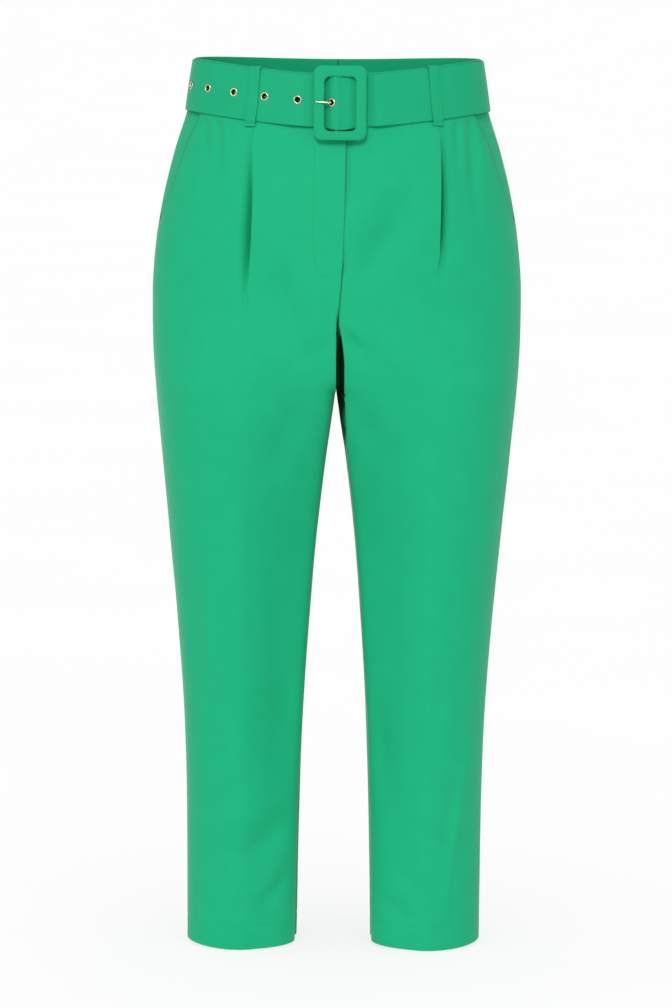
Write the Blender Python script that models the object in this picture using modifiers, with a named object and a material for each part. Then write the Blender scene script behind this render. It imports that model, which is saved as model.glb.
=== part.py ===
"""High-waist pleated trousers with a self-fabric belt and a fabric-covered buckle.

The trousers keep the hollow form they have when worn: front towards -Y, the
wearer's left towards +X, +Z up. The origin is the middle of the waist opening.
Lengths are in metres; MM turns the tables' millimetres into metres.

Each leg is a stack of level ovals. An angle called turn runs round an oval, from
0 at the side seam to pi at the inseam. Above the fork the two legs' ovals grow
into one another and are cut off at the centre seams, so they make one body.
"""

from math import cos, pi, radians, sin

import bmesh
import bpy
import numpy as np
from mathutils import Matrix, Vector

MM = 0.001
RIGHT = -1
LEFT = 1
FRONT = -1
BACK = 1

# Body: cloth walls, seams and the heights of the main lines.
SEAM_GAP = 0.3 * MM
CLOTH = 1.2 * MM
FORK_HEIGHT = -339 * MM
FORK_TOP = -232 * MM
CENTRE_HOLD = 15 * MM

# The crease that the centre seam makes above the fork, and the heights where it
# begins from below, is full and has faded above.
FORK_CREASE = 5 * MM
CREASE_WIDTH = 9 * MM
CREASE_HEIGHTS = (-325 * MM, -300 * MM, -250 * MM)

# The pleat's step over the cloth beside it, and how far each side of it fades.
PLEAT_STEP = 3.5 * MM
PLEAT_LIP_FADE = 26 * MM
PLEAT_TROUGH = 0.35
PLEAT_TROUGH_FADE = 14 * MM

# Waistband. It dips at the front and back centre, and the dip fades down the hip.
BAND_WALL = 2.2 * MM
BAND_TOP = 0.0
BAND_SEAM = -47 * MM
FRONT_DROP = 11.8 * MM
BACK_DROP = 4.0 * MM
DROP_FADES_AT = -190 * MM

# Slant pockets and the fly's lap.
POCKET_END = -180 * MM
POCKET_FADE = 24 * MM
FACING_INSET = 2.0 * MM
FACING_LAP = 9 * MM
FLY_LAP = 14 * MM
FLY_INSET = 1.8 * MM
FLY_END = -205 * MM
FLY_FADE = 21 * MM

# Belt: a strap of two layers of cloth. Distances out are from the waistband.
BELT_TOP = -1.6 * MM
BELT_WIDTH = 52 * MM
BELT_WALL = 1.8 * MM
BELT_GAP = 0.6 * MM
BELT_LINE = BELT_GAP + BELT_WALL / 2
BELT_LAYER = BELT_WALL + SEAM_GAP
BUCKLE_DIP = 1.3 * MM

# Belt loops. The profile runs over the belt, from the band to a tab below it: the
# distance out, the belt's edge beside it (0 upper, 1 lower) and the height over that.
LOOP_WIDTH = 11.0 * MM
LOOP_WALL = 1.4 * MM
LOOP_PROFILE = (
    # out, edge, past
    (0.35, 0, 2.1),
    (2.0, 0, 2.1),
    (2.9, 0, 1.0),
    (2.9, 1, -0.3),
    (2.4, 1, -1.6),
    (1.3, 1, -2.8),
    (1.3, 1, -5.5),
)
LOOPS = (
    ("belt_loop_front_right", FRONT, -85.0),
    ("belt_loop_front_left", FRONT, 97.2),
    ("belt_loop_back_right", BACK, -98.0),
    ("belt_loop_back_left", BACK, 98.0),
    ("belt_loop_back_centre", BACK, 0.0),
)

# Buckle: a flat ring with round edges, bent to the waist, and its metal bar.
BUCKLE_X = 2.4 * MM
BUCKLE_Z = -41 * MM
BUCKLE_SIZE = (53.4 * MM, 75 * MM, 7 * MM)
BUCKLE_OPENING = (32.4 * MM, 55 * MM, 4.5 * MM)
BUCKLE_BACK = 5.6 * MM
BUCKLE_WALL = 4.8 * MM
BUCKLE_ROUNDING = 2.2 * MM
BAR_X = -1.5 * MM
BAR_OUT = 4.0 * MM
BAR_RADIUS = 1.3 * MM
BAR_LENGTH = 64 * MM
PRONG_RADIUS = 0.8 * MM

# The prong's way up through the eyelet and over the frame, after its hook.
PRONG_RISE = (
    # x, out
    (-4.4, 5.3),
    (-5.4, 7.1),
    (-6.6, 9.3),
    (-8.6, 11.1),
    (-11.5, 11.5),
    (-20.6, 11.5),
)

# How far the strap's middle line lies from the bar's: where it wraps the bar and
# where the tongue passes over that.
WRAP_REACH = BAR_RADIUS + SEAM_GAP + BELT_WALL / 2
TONGUE_REACH = WRAP_REACH + BELT_LAYER + 0.2 * MM

# Eyelets: their hole in the strap, and a ring's profile, its barrel and its front
# flange, as radius and height from the strap's middle. The prong is in the first.
EYELET_CUT = 3.3 * MM
EYELET_SPACING = 35.4 * MM
EYELET_COUNT = 6
EYELET_X = -5.4 * MM
TONGUE_SLOPE = radians(35)
EYELET_PROFILE = (
    # radius, height
    (2.65, -1.1),
    (3.0, -1.1),
    (3.0, 1.2),
    (4.6, 1.2),
    (3.9, 2.0),
    (2.95, 1.9),
)

# The outline of the body, one row for each height. outer is the half width,
# front and back are the depths before and behind the side seam, shift moves the
# whole oval back, and square is the oval's exponent: 2 is an ellipse.
BODY_COLUMNS = ("height", "outer", "front", "back", "shift", "square")
BODY = (
    (15, 146.0, 96.5, 102.0, 0.0, 2.00),
    (0, 148.0, 98.0, 104.0, 0.0, 2.00),
    (-50, 155.0, 103.5, 110.5, 0.0, 2.00),
    (-95, 168.8, 110.5, 121.5, 0.0, 2.02),
    (-145, 181.0, 116.3, 131.5, 0.0, 2.05),
    (-195, 188.7, 119.6, 138.0, 0.0, 2.10),
    (-245, 191.9, 120.8, 139.8, -0.8, 2.16),
    (-295, 191.2, 118.8, 136.0, -2.0, 2.22),
    (-345, 187.8, 113.2, 126.5, -3.2, 2.28),
    (-410, 181.7, 104.5, 113.5, -4.5, 2.28),
    (-480, 175.0, 95.5, 101.5, -5.0, 2.25),
    (-590, 165.0, 82.0, 85.5, -4.2, 2.17),
    (-690, 158.4, 71.5, 73.0, -2.0, 2.10),
    (-790, 155.8, 64.5, 65.5, 1.0, 2.05),
    (-931, 155.3, 57.0, 58.0, 6.0, 2.00),
)

# Distance from the centre plane to each leg's inner edge, below the fork.
INSEAM_COLUMNS = ("height", "inner")
INSEAM = (
    (-339, 0.0),
    (-365, 3.4),
    (-408, 9.4),
    (-484, 18.5),
    (-586, 26.6),
    (-689, 32.8),
    (-792, 36.1),
    (-931, 38.4),
)

# Where the front crease runs, as a distance from the centre plane. The pleat
# follows it from the waist seam, then it goes on as the middle of the leg.
CREASE_COLUMNS = ("height", "right", "left")
CREASE = (
    (-47, 88.0, 101.5),
    (-92, 89.0, 104.5),
    (-140, 90.0, 106.0),
    (-193, 93.5, 105.0),
    (-243, 96.0, 101.0),
    (-340, 96.5, 97.0),
    (-480, 96.5, 96.5),
    (-931, 96.8, 96.8),
)

# Height of the pleat's step above the cloth beside it. The belt holds it flat.
PLEAT_COLUMNS = ("height", "right", "left")
PLEAT = (
    (-47, 0.0, 0.0),
    (-64, 0.0, 0.0),
    (-76, 1.8, 2.0),
    (-120, 3.2, 3.4),
    (-175, 3.8, 3.6),
    (-215, 3.0, 1.9),
    (-255, 1.1, 0.4),
    (-300, 0.0, 0.0),
    (-931, 0.0, 0.0),
)

# The slant pocket's mouth, as a distance in front of the side seam.
MOUTH_COLUMNS = ("height", "reach")
MOUTH = (
    (-47, 46.0),
    (-80, 39.0),
    (-115, 35.0),
    (-145, 28.0),
    (-164, 17.0),
    (-180, 0.0),
)

# The edge of the fly, to the wearer's left of the centre plane.
FLY_COLUMNS = ("height", "edge")
FLY = (
    (15, 9.0),
    (-155, 7.8),
    (-205, 6.0),
    (-240, 3.3),
    (-275, 0.6),
    (-300, 0.0),
    (-339, 0.0),
)

# Places of the strap inside the buckle: x from the centre plane, the layer, counted
# from the waistband, and how far over that layer's place it lies.
TURNED_END = (
    # x, layer, over
    (2.0, 2, 0.15),
    (8.2, 2, 0.0),
    (9.4, 2, -0.3),
    (12.4, 1, 0.2),
    (14.6, 1, 0.0),
    (30.0, 1, 0.0),
)
TONGUE_END = (
    # x, layer, over
    (3.4, 3, 0.15),
    (9.0, 3, 0.0),
    (12.0, 3, -0.5),
    (15.0, 3, -1.2),
    (18.0, 2, 0.4),
    (21.0, 2, 0.1),
    (25.5, 2, 0.05),
)

# The largest soft folds: each is a trough from one end to the other, in front
# view. Distances across are from the centre plane towards that side.
FOLDS = (
    # side, face, x0, z0, x1, z1, depth, width
    (RIGHT, FRONT, 66, -140, 44, -300, 2.6, 13),
    (RIGHT, FRONT, 120, -68, 118, -130, 1.2, 7),
    (RIGHT, FRONT, 52, -760, 96, -735, 1.4, 10),
    (RIGHT, FRONT, 44, -860, 92, -808, 1.6, 11),
    (LEFT, FRONT, 74, -115, 26, -260, 2.4, 13),
    (LEFT, FRONT, 136, -68, 138, -120, 1.2, 7),
    (LEFT, FRONT, 146, -790, 128, -890, 1.6, 11),
    (RIGHT, BACK, 76, -62, 72, -150, 1.0, 8),
    (LEFT, BACK, 76, -62, 72, -150, 1.0, 8),
)

# Heights of the rows of points down the front and back panels.
PANEL_ROWS = (-47, -59, -74, -94, -118, -145, -164, -174, -180, -205, -226, -246)
PANEL_ROWS += (-264, -281, -297, -312, -325, -334, -339, -348, -366, -400, -460)
PANEL_ROWS += (-540, -640, -740, -840, -931)

# Shares of the way from the side seam to the crease, from there to the centre,
# and from side to centre on the back. They are close together beside a seam.
OUTER_SHARES = (0.0, 0.03, 0.13, 0.25, 0.39, 0.55, 0.73, 0.88, 0.975, 1.0)
INNER_SHARES = (0.025, 0.12, 0.34, 0.60, 0.82, 0.875, 0.965, 1.0)
BACK_SHARES = (0.0, 0.02, 0.10, 0.20, 0.31, 0.43, 0.56, 0.70, 0.84, 0.95, 1.0)
FACING_SHARES = (0.0, 0.05, 0.3, 0.55, 0.8, 1.0)
BAND_SHARES = (0.0, 0.02, 0.12, 0.24, 0.38, 0.53, 0.69, 0.85, 0.98, 1.0)

GREEN = (0.022, 0.440, 0.205, 1.0)
GOLD = (0.83, 0.60, 0.22, 1.0)


def along(height, table, columns, name):
    """A table's column at any height: a smooth curve that never overshoots its rows."""
    rows = np.array(table, dtype=float)
    knots = -rows[:, 0]
    values = rows[:, columns.index(name)]
    rises = np.diff(values) / np.diff(knots)
    slopes = np.gradient(values, knots)
    gentle = 2.5 * np.minimum(np.abs(rises[1:]), np.abs(rises[:-1]))
    gentle = np.where(rises[1:] * rises[:-1] <= 0, 0, gentle)
    slopes[1:-1] = np.clip(slopes[1:-1], -gentle, gentle)
    at = np.clip(-np.asarray(height) / MM, knots[0], knots[-1])
    row = np.clip(np.searchsorted(knots, at) - 1, 0, len(knots) - 2)
    span = knots[row + 1] - knots[row]
    part = (at - knots[row]) / span
    value = values[row] + (values[row + 1] - values[row]) * part**2 * (3 - 2 * part)
    value = value + slopes[row] * span * part * (1 - part) ** 2
    value = value - slopes[row + 1] * span * part**2 * (1 - part)
    return value * (1.0 if name == "square" else MM)


def body(height, name):
    return along(height, BODY, BODY_COLUMNS, name)


def depth_of(face, height):
    return body(height, "front" if face == FRONT else "back")


def side_name(side):
    return "right" if side == RIGHT else "left"


def step(value, start, end):
    """0 before start, 1 after end, and a smooth rise between."""
    part = np.clip((value - start) / (end - start), 0, 1)
    return part * part * (3 - 2 * part)


def leg_oval(height):
    """Centre, half width and exponent of one leg's level oval."""
    outer = body(height, "outer")
    above = np.clip((height - FORK_HEIGHT) / (FORK_TOP - FORK_HEIGHT), 0, 1)
    joined = np.sin(pi / 2 * above) ** 1.5
    below = along(height, INSEAM, INSEAM_COLUMNS, "inner")
    inner = np.where(height > FORK_HEIGHT, -outer * joined, below)
    return (outer + inner) / 2, (outer - inner) / 2, body(height, "square")


def oval_point(face, turn, height, out):
    """A point of one leg's oval, moved out along the oval's level normal."""
    centre, radius, square = leg_oval(height)
    depth = depth_of(face, height)
    cosine = np.cos(turn)
    across = np.sign(cosine) * np.abs(cosine) ** (2 / square)
    forward = np.abs(np.sin(turn)) ** (2 / square)
    normal_x = np.sign(across) * np.abs(across) ** (square - 1) / radius
    normal_y = face * forward ** (square - 1) / depth
    length = np.hypot(normal_x, normal_y)
    x = centre + radius * across + out * normal_x / length
    y = body(height, "shift") + face * depth * forward + out * normal_y / length
    return x, y


def turn_at_x(x, height):
    """The turn whose point lies x from the centre plane, or pi where there is none."""
    centre, radius, square = leg_oval(height)
    across = np.clip((x - centre) / radius, -1, 1)
    return np.arccos(np.sign(across) * np.abs(across) ** (square / 2))


def turn_at_reach(reach, height):
    """The turn whose point lies reach in front of the side seam."""
    share = np.clip(reach / body(height, "front"), 0, 1)
    return np.arcsin(share ** (body(height, "square") / 2))


def arc_length(face, turn, height):
    """The length that one radian of turn makes here, nearly."""
    radius = leg_oval(height)[1]
    return np.hypot(radius * np.sin(turn), depth_of(face, height) * np.cos(turn))


def waist_drop(face, turn, height):
    most = FRONT_DROP if face == FRONT else BACK_DROP
    return most * np.abs(np.sin(turn)) ** 3 * step(height, DROP_FADES_AT, BAND_SEAM)


def fly_edge(height):
    return along(height, FLY, FLY_COLUMNS, "edge")


def crease_turn(side, height):
    return turn_at_x(along(height, CREASE, CREASE_COLUMNS, side_name(side)), height)


def pleat_height(side, apart, height):
    """The pleat's step. apart is the distance from its edge, towards the side seam."""
    tall = along(height, PLEAT, PLEAT_COLUMNS, side_name(side))
    under = step(apart, -0.5 * MM, PLEAT_STEP)
    lip = np.exp(np.minimum(apart, 0) / PLEAT_LIP_FADE)
    trough = PLEAT_TROUGH * np.exp(-np.maximum(apart, 0) / PLEAT_TROUGH_FADE)
    return tall * ((1 - under) * lip - under * trough)


def fold_depth(side, face, x, height):
    """How far the soft folds press the cloth in at this place."""
    total = np.zeros(np.broadcast(x, height).shape)
    for fold in FOLDS:
        if fold[:2] != (side, face):
            continue
        x0, z0, x1, z1, depth, width = (value * MM for value in fold[2:])
        run = (x1 - x0) ** 2 + (z1 - z0) ** 2
        share = np.clip(((x - x0) * (x1 - x0) + (height - z0) * (z1 - z0)) / run, 0, 1)
        off = np.hypot(x - x0 - share * (x1 - x0), height - z0 - share * (z1 - z0))
        ends = 0.35 + 0.65 * np.sin(pi * share)
        total += depth * ends * np.exp(-((off / width) ** 2))
    return total


def fork_crease(x, height):
    """How far the centre seam is drawn in just above the fork."""
    low, full, starts = CREASE_HEIGHTS
    reach = step(-height, -starts, -full) * step(height, FORK_HEIGHT, low)
    return FORK_CREASE * reach * np.exp(-((x / CREASE_WIDTH) ** 2))


def cloth_points(side, face, turn, height, out):
    """Points of the trousers' cloth, with pleat and folds, as an array of x, y, z.

    Beside the centre plane the relief moves the cloth only forwards or back.
    """
    plain_x = oval_point(face, turn, height, 0)[0]
    relief = out - fold_depth(side, face, plain_x, height)
    if face == FRONT:
        edge = crease_turn(side, height)
        apart = (edge - turn) * arc_length(face, edge, height)
        relief = relief + pleat_height(side, apart, height)
    x, y = oval_point(face, turn, height, relief)
    x = plain_x + (x - plain_x) * np.clip(plain_x / CENTRE_HOLD, 0, 1)
    y = y - face * fork_crease(plain_x, height) * np.sin(turn)
    return np.stack([side * x, y, np.broadcast_to(height, x.shape)], axis=-1)


def principled(name, colour, roughness, metallic=0.0):
    material = bpy.data.materials.new(name)
    material.use_nodes = True
    shader = material.node_tree.nodes["Principled BSDF"]
    shader.inputs["Base Color"].default_value = colour
    shader.inputs["Roughness"].default_value = roughness
    shader.inputs["Metallic"].default_value = metallic
    material.diffuse_color = colour
    return material


def add_object(name, mesh, collection, material):
    mesh.materials.clear()
    mesh.materials.append(material)
    part = bpy.data.objects.new(name, mesh)
    collection.objects.link(part)
    return part


def grid_mesh(name, points, closed):
    """Faces between a grid's points. They face where columns turn to rows."""
    rows, columns = points.shape[:2]
    number = np.arange(rows * columns).reshape(rows, columns)
    if closed:
        number = np.pad(number, ((0, 1), (0, 1)), mode="wrap")
    corners = (number[:-1, :-1], number[:-1, 1:], number[1:, 1:], number[1:, :-1])
    faces = np.stack(corners, axis=-1).reshape(-1, 4)
    mesh = bpy.data.meshes.new(name)
    mesh.from_pydata(points.reshape(-1, 3).tolist(), [], faces.tolist())
    mesh.shade_smooth()
    return mesh


def sheet(name, points, thickness, offset, collection, material):
    """A wall through a grid of points. offset 1 puts it outside, -1 inside, 0 both."""
    mesh = grid_mesh(name, points, False)
    part = add_object(name, mesh, collection, material)
    wall = part.modifiers.new("wall", "SOLIDIFY")
    wall.thickness = thickness
    wall.offset = offset
    return part


def facing_out(side, face, points):
    """Turns a grid of rows downwards so that its faces point out of the body."""
    return points[:, ::-1] if side == face else points


def front_panel(side, collection, material):
    """The front, from the pocket mouth and side seam to the fly and the inseam."""
    height = np.array(PANEL_ROWS)[:, None] * MM
    mouth = turn_at_reach(along(height, MOUTH, MOUTH_COLUMNS, "reach"), height)
    seam = SEAM_GAP / 2 / body(height, "front")
    start = mouth + seam
    crease = crease_turn(side, height)
    edge = fly_edge(height) * side
    if side == LEFT:
        edge = edge - FLY_LAP * step(height, FLY_END, FLY_END + FLY_FADE)
    end = np.minimum(turn_at_x(edge + SEAM_GAP / 2, height), pi - seam)
    outer = start + (crease - start) * np.array(OUTER_SHARES)
    inner = crease + (end - crease) * np.array(INNER_SHARES)
    turn = np.concatenate([outer, inner], axis=1)
    level = height - waist_drop(FRONT, turn, height)
    out = 0
    if side == LEFT:
        x = oval_point(FRONT, turn, level, 0)[0] - fly_edge(level)
        out = -FLY_INSET * step(level, FLY_END - FLY_FADE, FLY_END)
        out = out * (1 - step(x, 1.5 * MM, 8 * MM))
    points = facing_out(side, FRONT, cloth_points(side, FRONT, turn, level, out))
    sheet("front_" + side_name(side), points, CLOTH, -1, collection, material)


def back_panel(side, collection, material):
    """The back, from the side seam round the seat to the centre seam and the inseam."""
    height = np.array(PANEL_ROWS)[:, None] * MM
    start = SEAM_GAP / 2 / body(height, "back")
    end = np.minimum(turn_at_x(SEAM_GAP / 2, height), pi - start)
    turn = start + (end - start) * np.array(BACK_SHARES)
    level = height - waist_drop(BACK, turn, height)
    points = facing_out(side, BACK, cloth_points(side, BACK, turn, level, 0))
    sheet("back_" + side_name(side), points, CLOTH, -1, collection, material)


def pocket_facing(side, collection, material):
    """The piece that shows in the slant pocket, sewn in the side seam and set in."""
    rows = [row for row in PANEL_ROWS if row * MM >= POCKET_END]
    height = np.array(rows)[:, None] * MM
    mouth = turn_at_reach(along(height, MOUTH, MOUTH_COLUMNS, "reach"), height)
    start = SEAM_GAP / 2 / body(height, "front")
    end = mouth + FACING_LAP / arc_length(FRONT, mouth, height)
    turn = start + (end - start) * np.array(FACING_SHARES)
    level = height - waist_drop(FRONT, turn, height)
    across = np.clip(turn / np.maximum(mouth, start), 0, 1)
    down = step(-height, -POCKET_END - POCKET_FADE, -POCKET_END - POCKET_FADE / 4)
    out = -FACING_INSET * np.maximum(step(across, 0, 0.8), down)
    points = facing_out(side, FRONT, cloth_points(side, FRONT, turn, level, out))
    name = "pocket_facing_" + side_name(side)
    sheet(name, points, CLOTH, -1, collection, material)


def waistband(side, face, collection, material):
    """A quarter of the waistband, from the side seam to the fly or the centre back."""
    centre = fly_edge(BAND_TOP) * side if face == FRONT else 0
    height = np.linspace(BAND_TOP, BAND_SEAM + SEAM_GAP, 3)[:, None]
    start = SEAM_GAP / 2 / depth_of(face, height)
    end = turn_at_x(centre + SEAM_GAP / 2, height)
    turn = start + (end - start) * np.array(BAND_SHARES)
    level = height - waist_drop(face, turn, BAND_SEAM)
    x, y = oval_point(face, turn, level, 0)
    points = facing_out(side, face, np.stack([side * x, y, level], axis=-1))
    name = "waistband_" + ("front_" if face == FRONT else "back_") + side_name(side)
    sheet(name, points, BAND_WALL, -1, collection, material)


def hoop_point(angle, height, out):
    """A point round the whole waist: angle 0 at the left side, pi / 2 at the front."""
    front = oval_point(FRONT, angle, height, out)
    back = oval_point(BACK, angle, height, out)
    in_front = np.sin(angle) >= 0
    x = np.where(in_front, front[0], back[0])
    y = np.where(in_front, front[1], back[1])
    return np.stack([x, y, np.broadcast_to(height, x.shape)], axis=-1)


def belt_point(angle, share, out):
    """A point of the belt, straight from its top edge, share 0, to its lower one, 1."""
    drop = np.where(np.sin(angle) > 0, FRONT_DROP, BACK_DROP)
    drop = drop * np.abs(np.sin(angle)) ** 3
    near_buckle = np.where(np.sin(angle) > 0, np.exp(-((np.cos(angle) / 0.17) ** 2)), 0)
    top = BELT_TOP - drop - BUCKLE_DIP * near_buckle
    upper = hoop_point(angle, top, out)
    lower = hoop_point(angle, top - BELT_WIDTH, out)
    return upper + (lower - upper) * np.asarray(share)[..., None]


def front_angle(x):
    """The angle of the point x from the centre plane on the front of the belt."""
    return np.arccos(x / body(BELT_TOP - BELT_WIDTH / 2, "outer"))


def before_belt(x, height, out):
    """The point at x and height that lies out from the waistband's front."""
    angle = front_angle(x)
    upper = belt_point(angle, 0, out)
    lower = belt_point(angle, 1, out)
    share = (upper[..., 2] - height) / (upper[..., 2] - lower[..., 2])
    y = upper[..., 1] + (lower[..., 1] - upper[..., 1]) * share
    return np.stack([x, y, height], axis=-1)


def tongue_rise():
    """The straight stretch where the tongue climbs to the bar: two x, out pairs."""
    top_x = BAR_X - TONGUE_REACH * sin(TONGUE_SLOPE)
    top_out = BAR_OUT + TONGUE_REACH * cos(TONGUE_SLOPE)
    climb = top_out - BELT_LINE - 0.25 * MM
    run = climb * cos(TONGUE_SLOPE) / sin(TONGUE_SLOPE)
    return (top_x - run, top_out - climb), (top_x, top_out)


def round_bar(reach, first, last, steps):
    """Pairs of x and out on an arc round the bar, between two angles in degrees."""
    bend = np.radians(np.linspace(first, last, steps))
    return [(BAR_X + reach * cos(a), BAR_OUT + reach * sin(a)) for a in bend]


def layered(table):
    """Pairs of x and out from a table of places in the buckle."""
    outs = [BELT_LINE + (layer - 1) * BELT_LAYER + over * MM for _, layer, over in table]
    return [(row[0] * MM, out) for row, out in zip(table, outs)]


def strap_route():
    """The strap's middle line: arrays of the angle and the distance out.

    It starts as a short end turned back behind the bar, wraps the bar, lies over
    its own end, goes round the body and comes back as the tongue: under the
    buckle's right side, up over the wrapped bar and down again behind the left.
    """
    start = [(8.0 * MM, BELT_LINE)] + round_bar(WRAP_REACH, -90, -320, 10)
    start += layered(TURNED_END)
    low = tongue_rise()[0]
    end = [(-30 * MM, BELT_LINE), (low[0] - 1.5 * MM, BELT_LINE), low]
    end += round_bar(TONGUE_REACH, 125, 40, 7) + layered(TONGUE_END)
    around = np.linspace(front_angle(37 * MM), front_angle(-37 * MM) - 2 * pi, 46)
    angles = [front_angle(x) for x, _ in start] + list(around)
    angles += [front_angle(x) - 2 * pi for x, _ in end]
    outs = [out for _, out in start] + [BELT_LINE] * len(around)
    outs += [out for _, out in end]
    return np.array(angles), np.array(outs)


def square_to(along_it, down_it):
    """The direction square to two edges of the belt, pointing away from the body."""
    return Vector(along_it).cross(Vector(down_it)).normalized()


def eyelet_places():
    """The middle of each eyelet and the belt's outward direction there."""
    low, high = tongue_rise()
    share = (EYELET_X - low[0]) / (high[0] - low[0])
    out = low[1] + (high[1] - low[1]) * share
    angle = front_angle(EYELET_X)
    ends = [belt_point(front_angle(x), 0.5, far) for x, far in (low, high)]
    down = belt_point(angle, 1, out) - belt_point(angle, 0, out)
    places = [(belt_point(angle, 0.5, out), square_to(ends[0] - ends[1], down))]
    fine = np.linspace(angle, pi + 0.6, 1500)
    line = belt_point(fine, 0.5, BELT_LINE)
    length = np.cumsum(np.linalg.norm(np.diff(line, axis=0), axis=1))
    for number in range(1, EYELET_COUNT):
        row = int(np.searchsorted(length, number * EYELET_SPACING))
        top = belt_point(fine[row], 0, BELT_LINE)
        down = belt_point(fine[row], 1, BELT_LINE) - top
        places.append((line[row], square_to(line[row + 9] - line[row - 9], down)))
    return places


def placed(middle, direction):
    """The matrix that puts a shape drawn along +Z at a place, along a direction."""
    turned = Vector((0, 0, 1)).rotation_difference(direction).to_matrix().to_4x4()
    return Matrix.Translation(Vector(middle)) @ turned


def bar_place():
    """The bar's middle and its direction, which follows the belt's slope."""
    heights = BUCKLE_Z + BAR_LENGTH * np.array((0.5, -0.5))
    upper, lower = before_belt(np.full(2, BAR_X), heights, np.full(2, BAR_OUT))
    return (upper + lower) / 2, Vector(upper - lower).normalized()


def cut_round_hole(part, name, radius, depth, middle, direction, collection):
    mesh = bpy.data.meshes.new(name)
    shape = bmesh.new()
    size = {"radius1": radius, "radius2": radius, "depth": depth, "segments": 14}
    bmesh.ops.create_cone(shape, cap_ends=True, **size)
    shape.to_mesh(mesh)
    shape.free()
    tool = bpy.data.objects.new(name, mesh)
    tool.matrix_world = placed(middle, direction)
    tool.hide_render = True
    tool.display_type = "WIRE"
    collection.objects.link(tool)
    hole = part.modifiers.new(name, "BOOLEAN")
    hole.operation = "DIFFERENCE"
    hole.object = tool


def belt_strap(collection, cutters, material):
    """One strap from the buckle's bar round the body and back through the buckle."""
    angles, outs = strap_route()
    share = np.broadcast_to(np.array((0.0, 1.0))[:, None], (2, len(angles)))
    points = belt_point(angles, share, outs)
    strap = sheet("belt_strap", points, BELT_WALL, 0, collection, material)
    for number, (middle, direction) in enumerate(eyelet_places(), 1):
        hole = (f"eyelet_hole_{number}", EYELET_CUT, 3.6 * MM)
        cut_round_hole(strap, *hole, middle, direction, cutters)
    slot = ("prong_slot", WRAP_REACH + BELT_WALL / 2 + SEAM_GAP, 5 * MM)
    cut_round_hole(strap, *slot, *bar_place(), cutters)


def belt_loop(name, face, x, collection, material):
    """A loop over the belt at x, from the band's top edge to a tab below the belt."""
    angle = front_angle(x * MM) * -face
    edges = belt_point(angle, np.array((0, 1)), 0)[:, 2]
    out = np.array([[row[0]] for row in LOOP_PROFILE]) * MM
    past = np.array([[row[2]] for row in LOOP_PROFILE]) * MM
    height = past + np.array([[edges[row[1]]] for row in LOOP_PROFILE])
    across = x * MM + LOOP_WIDTH * np.array((-0.5, 0.0, 0.5))
    turn = turn_at_x(np.abs(across), height)
    level_x, level_y = oval_point(face, turn, height, out)
    height = np.broadcast_to(height, level_x.shape)
    points = np.stack([np.sign(across) * level_x, level_y, height], axis=-1)
    points = points if face == BACK else points[:, ::-1]
    sheet(name, points, LOOP_WALL, 1, collection, material)


def rounded_rectangle(width, height, radius):
    """The outline of a rectangle with round corners, as x and y pairs.

    The two sides across have points between the corners, so that they can bend.
    """
    points = []
    for corner, (right, up) in enumerate(((1, 1), (-1, 1), (-1, -1), (1, -1))):
        for count in range(5):
            angle = pi / 2 * (corner + count / 4)
            x = right * (width / 2 - radius) + radius * cos(angle)
            y = up * (height / 2 - radius) + radius * sin(angle)
            points.append((x, y))
        for share in (0.25, 0, -0.25):
            if right == up:
                points.append((up * share * (width - 2 * radius), up * height / 2))
    return points


def buckle_frame(collection, material):
    """The covered frame: a ring with round edges, bent to follow the waist.

    Each section runs back round the outer edge, then forward round the opening's.
    """
    outside = np.array(rounded_rectangle(*BUCKLE_SIZE))[:, None]
    inside = np.array(rounded_rectangle(*BUCKLE_OPENING))[:, None]
    width = np.linalg.norm(inside - outside, axis=-1)
    bend = np.radians(np.linspace(90, -90, 6))
    edge = BUCKLE_ROUNDING * (1 - np.cos(bend)) / width
    across = np.concatenate([edge, 1 - edge], axis=1)[..., None]
    raised = BUCKLE_WALL / 2 * np.concatenate([np.sin(bend), -np.sin(bend)])
    flat = outside + (inside - outside) * across
    out = np.broadcast_to(BUCKLE_BACK + BUCKLE_WALL / 2 + raised, flat.shape[:2])
    points = before_belt(flat[..., 0] + BUCKLE_X, flat[..., 1] + BUCKLE_Z, out)
    mesh = grid_mesh("buckle_frame", points, True)
    add_object("buckle_frame", mesh, collection, material)


def buckle_bar(collection, material):
    """The metal bar up the middle of the buckle, fixed behind its short sides."""
    mesh = bpy.data.meshes.new("buckle_bar")
    shape = bmesh.new()
    size = {"radius1": BAR_RADIUS, "radius2": BAR_RADIUS, "depth": BAR_LENGTH}
    bmesh.ops.create_cone(shape, cap_ends=True, segments=12, **size)
    shape.to_mesh(mesh)
    shape.free()
    bar = add_object("buckle_bar", mesh, collection, material)
    bar.matrix_world = placed(*bar_place())


def buckle_prong(collection, material):
    """The prong: a hook on the bar, up through the eyelet and over the frame."""
    route = round_bar(BAR_RADIUS + SEAM_GAP + PRONG_RADIUS, 80, -175, 10)
    route += [(x * MM, out * MM) for x, out in PRONG_RISE]
    curve = bpy.data.curves.new("buckle_prong", "CURVE")
    curve.dimensions = "3D"
    curve.bevel_depth = PRONG_RADIUS
    curve.bevel_resolution = 2
    curve.use_fill_caps = True
    spline = curve.splines.new("POLY")
    spline.points.add(len(route) - 1)
    for place, (x, out) in zip(spline.points, route):
        place.co = (*belt_point(front_angle(x), 0.5, out), 1)
    prong = bpy.data.objects.new("buckle_prong", curve)
    collection.objects.link(prong)
    curve.materials.append(material)


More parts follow.
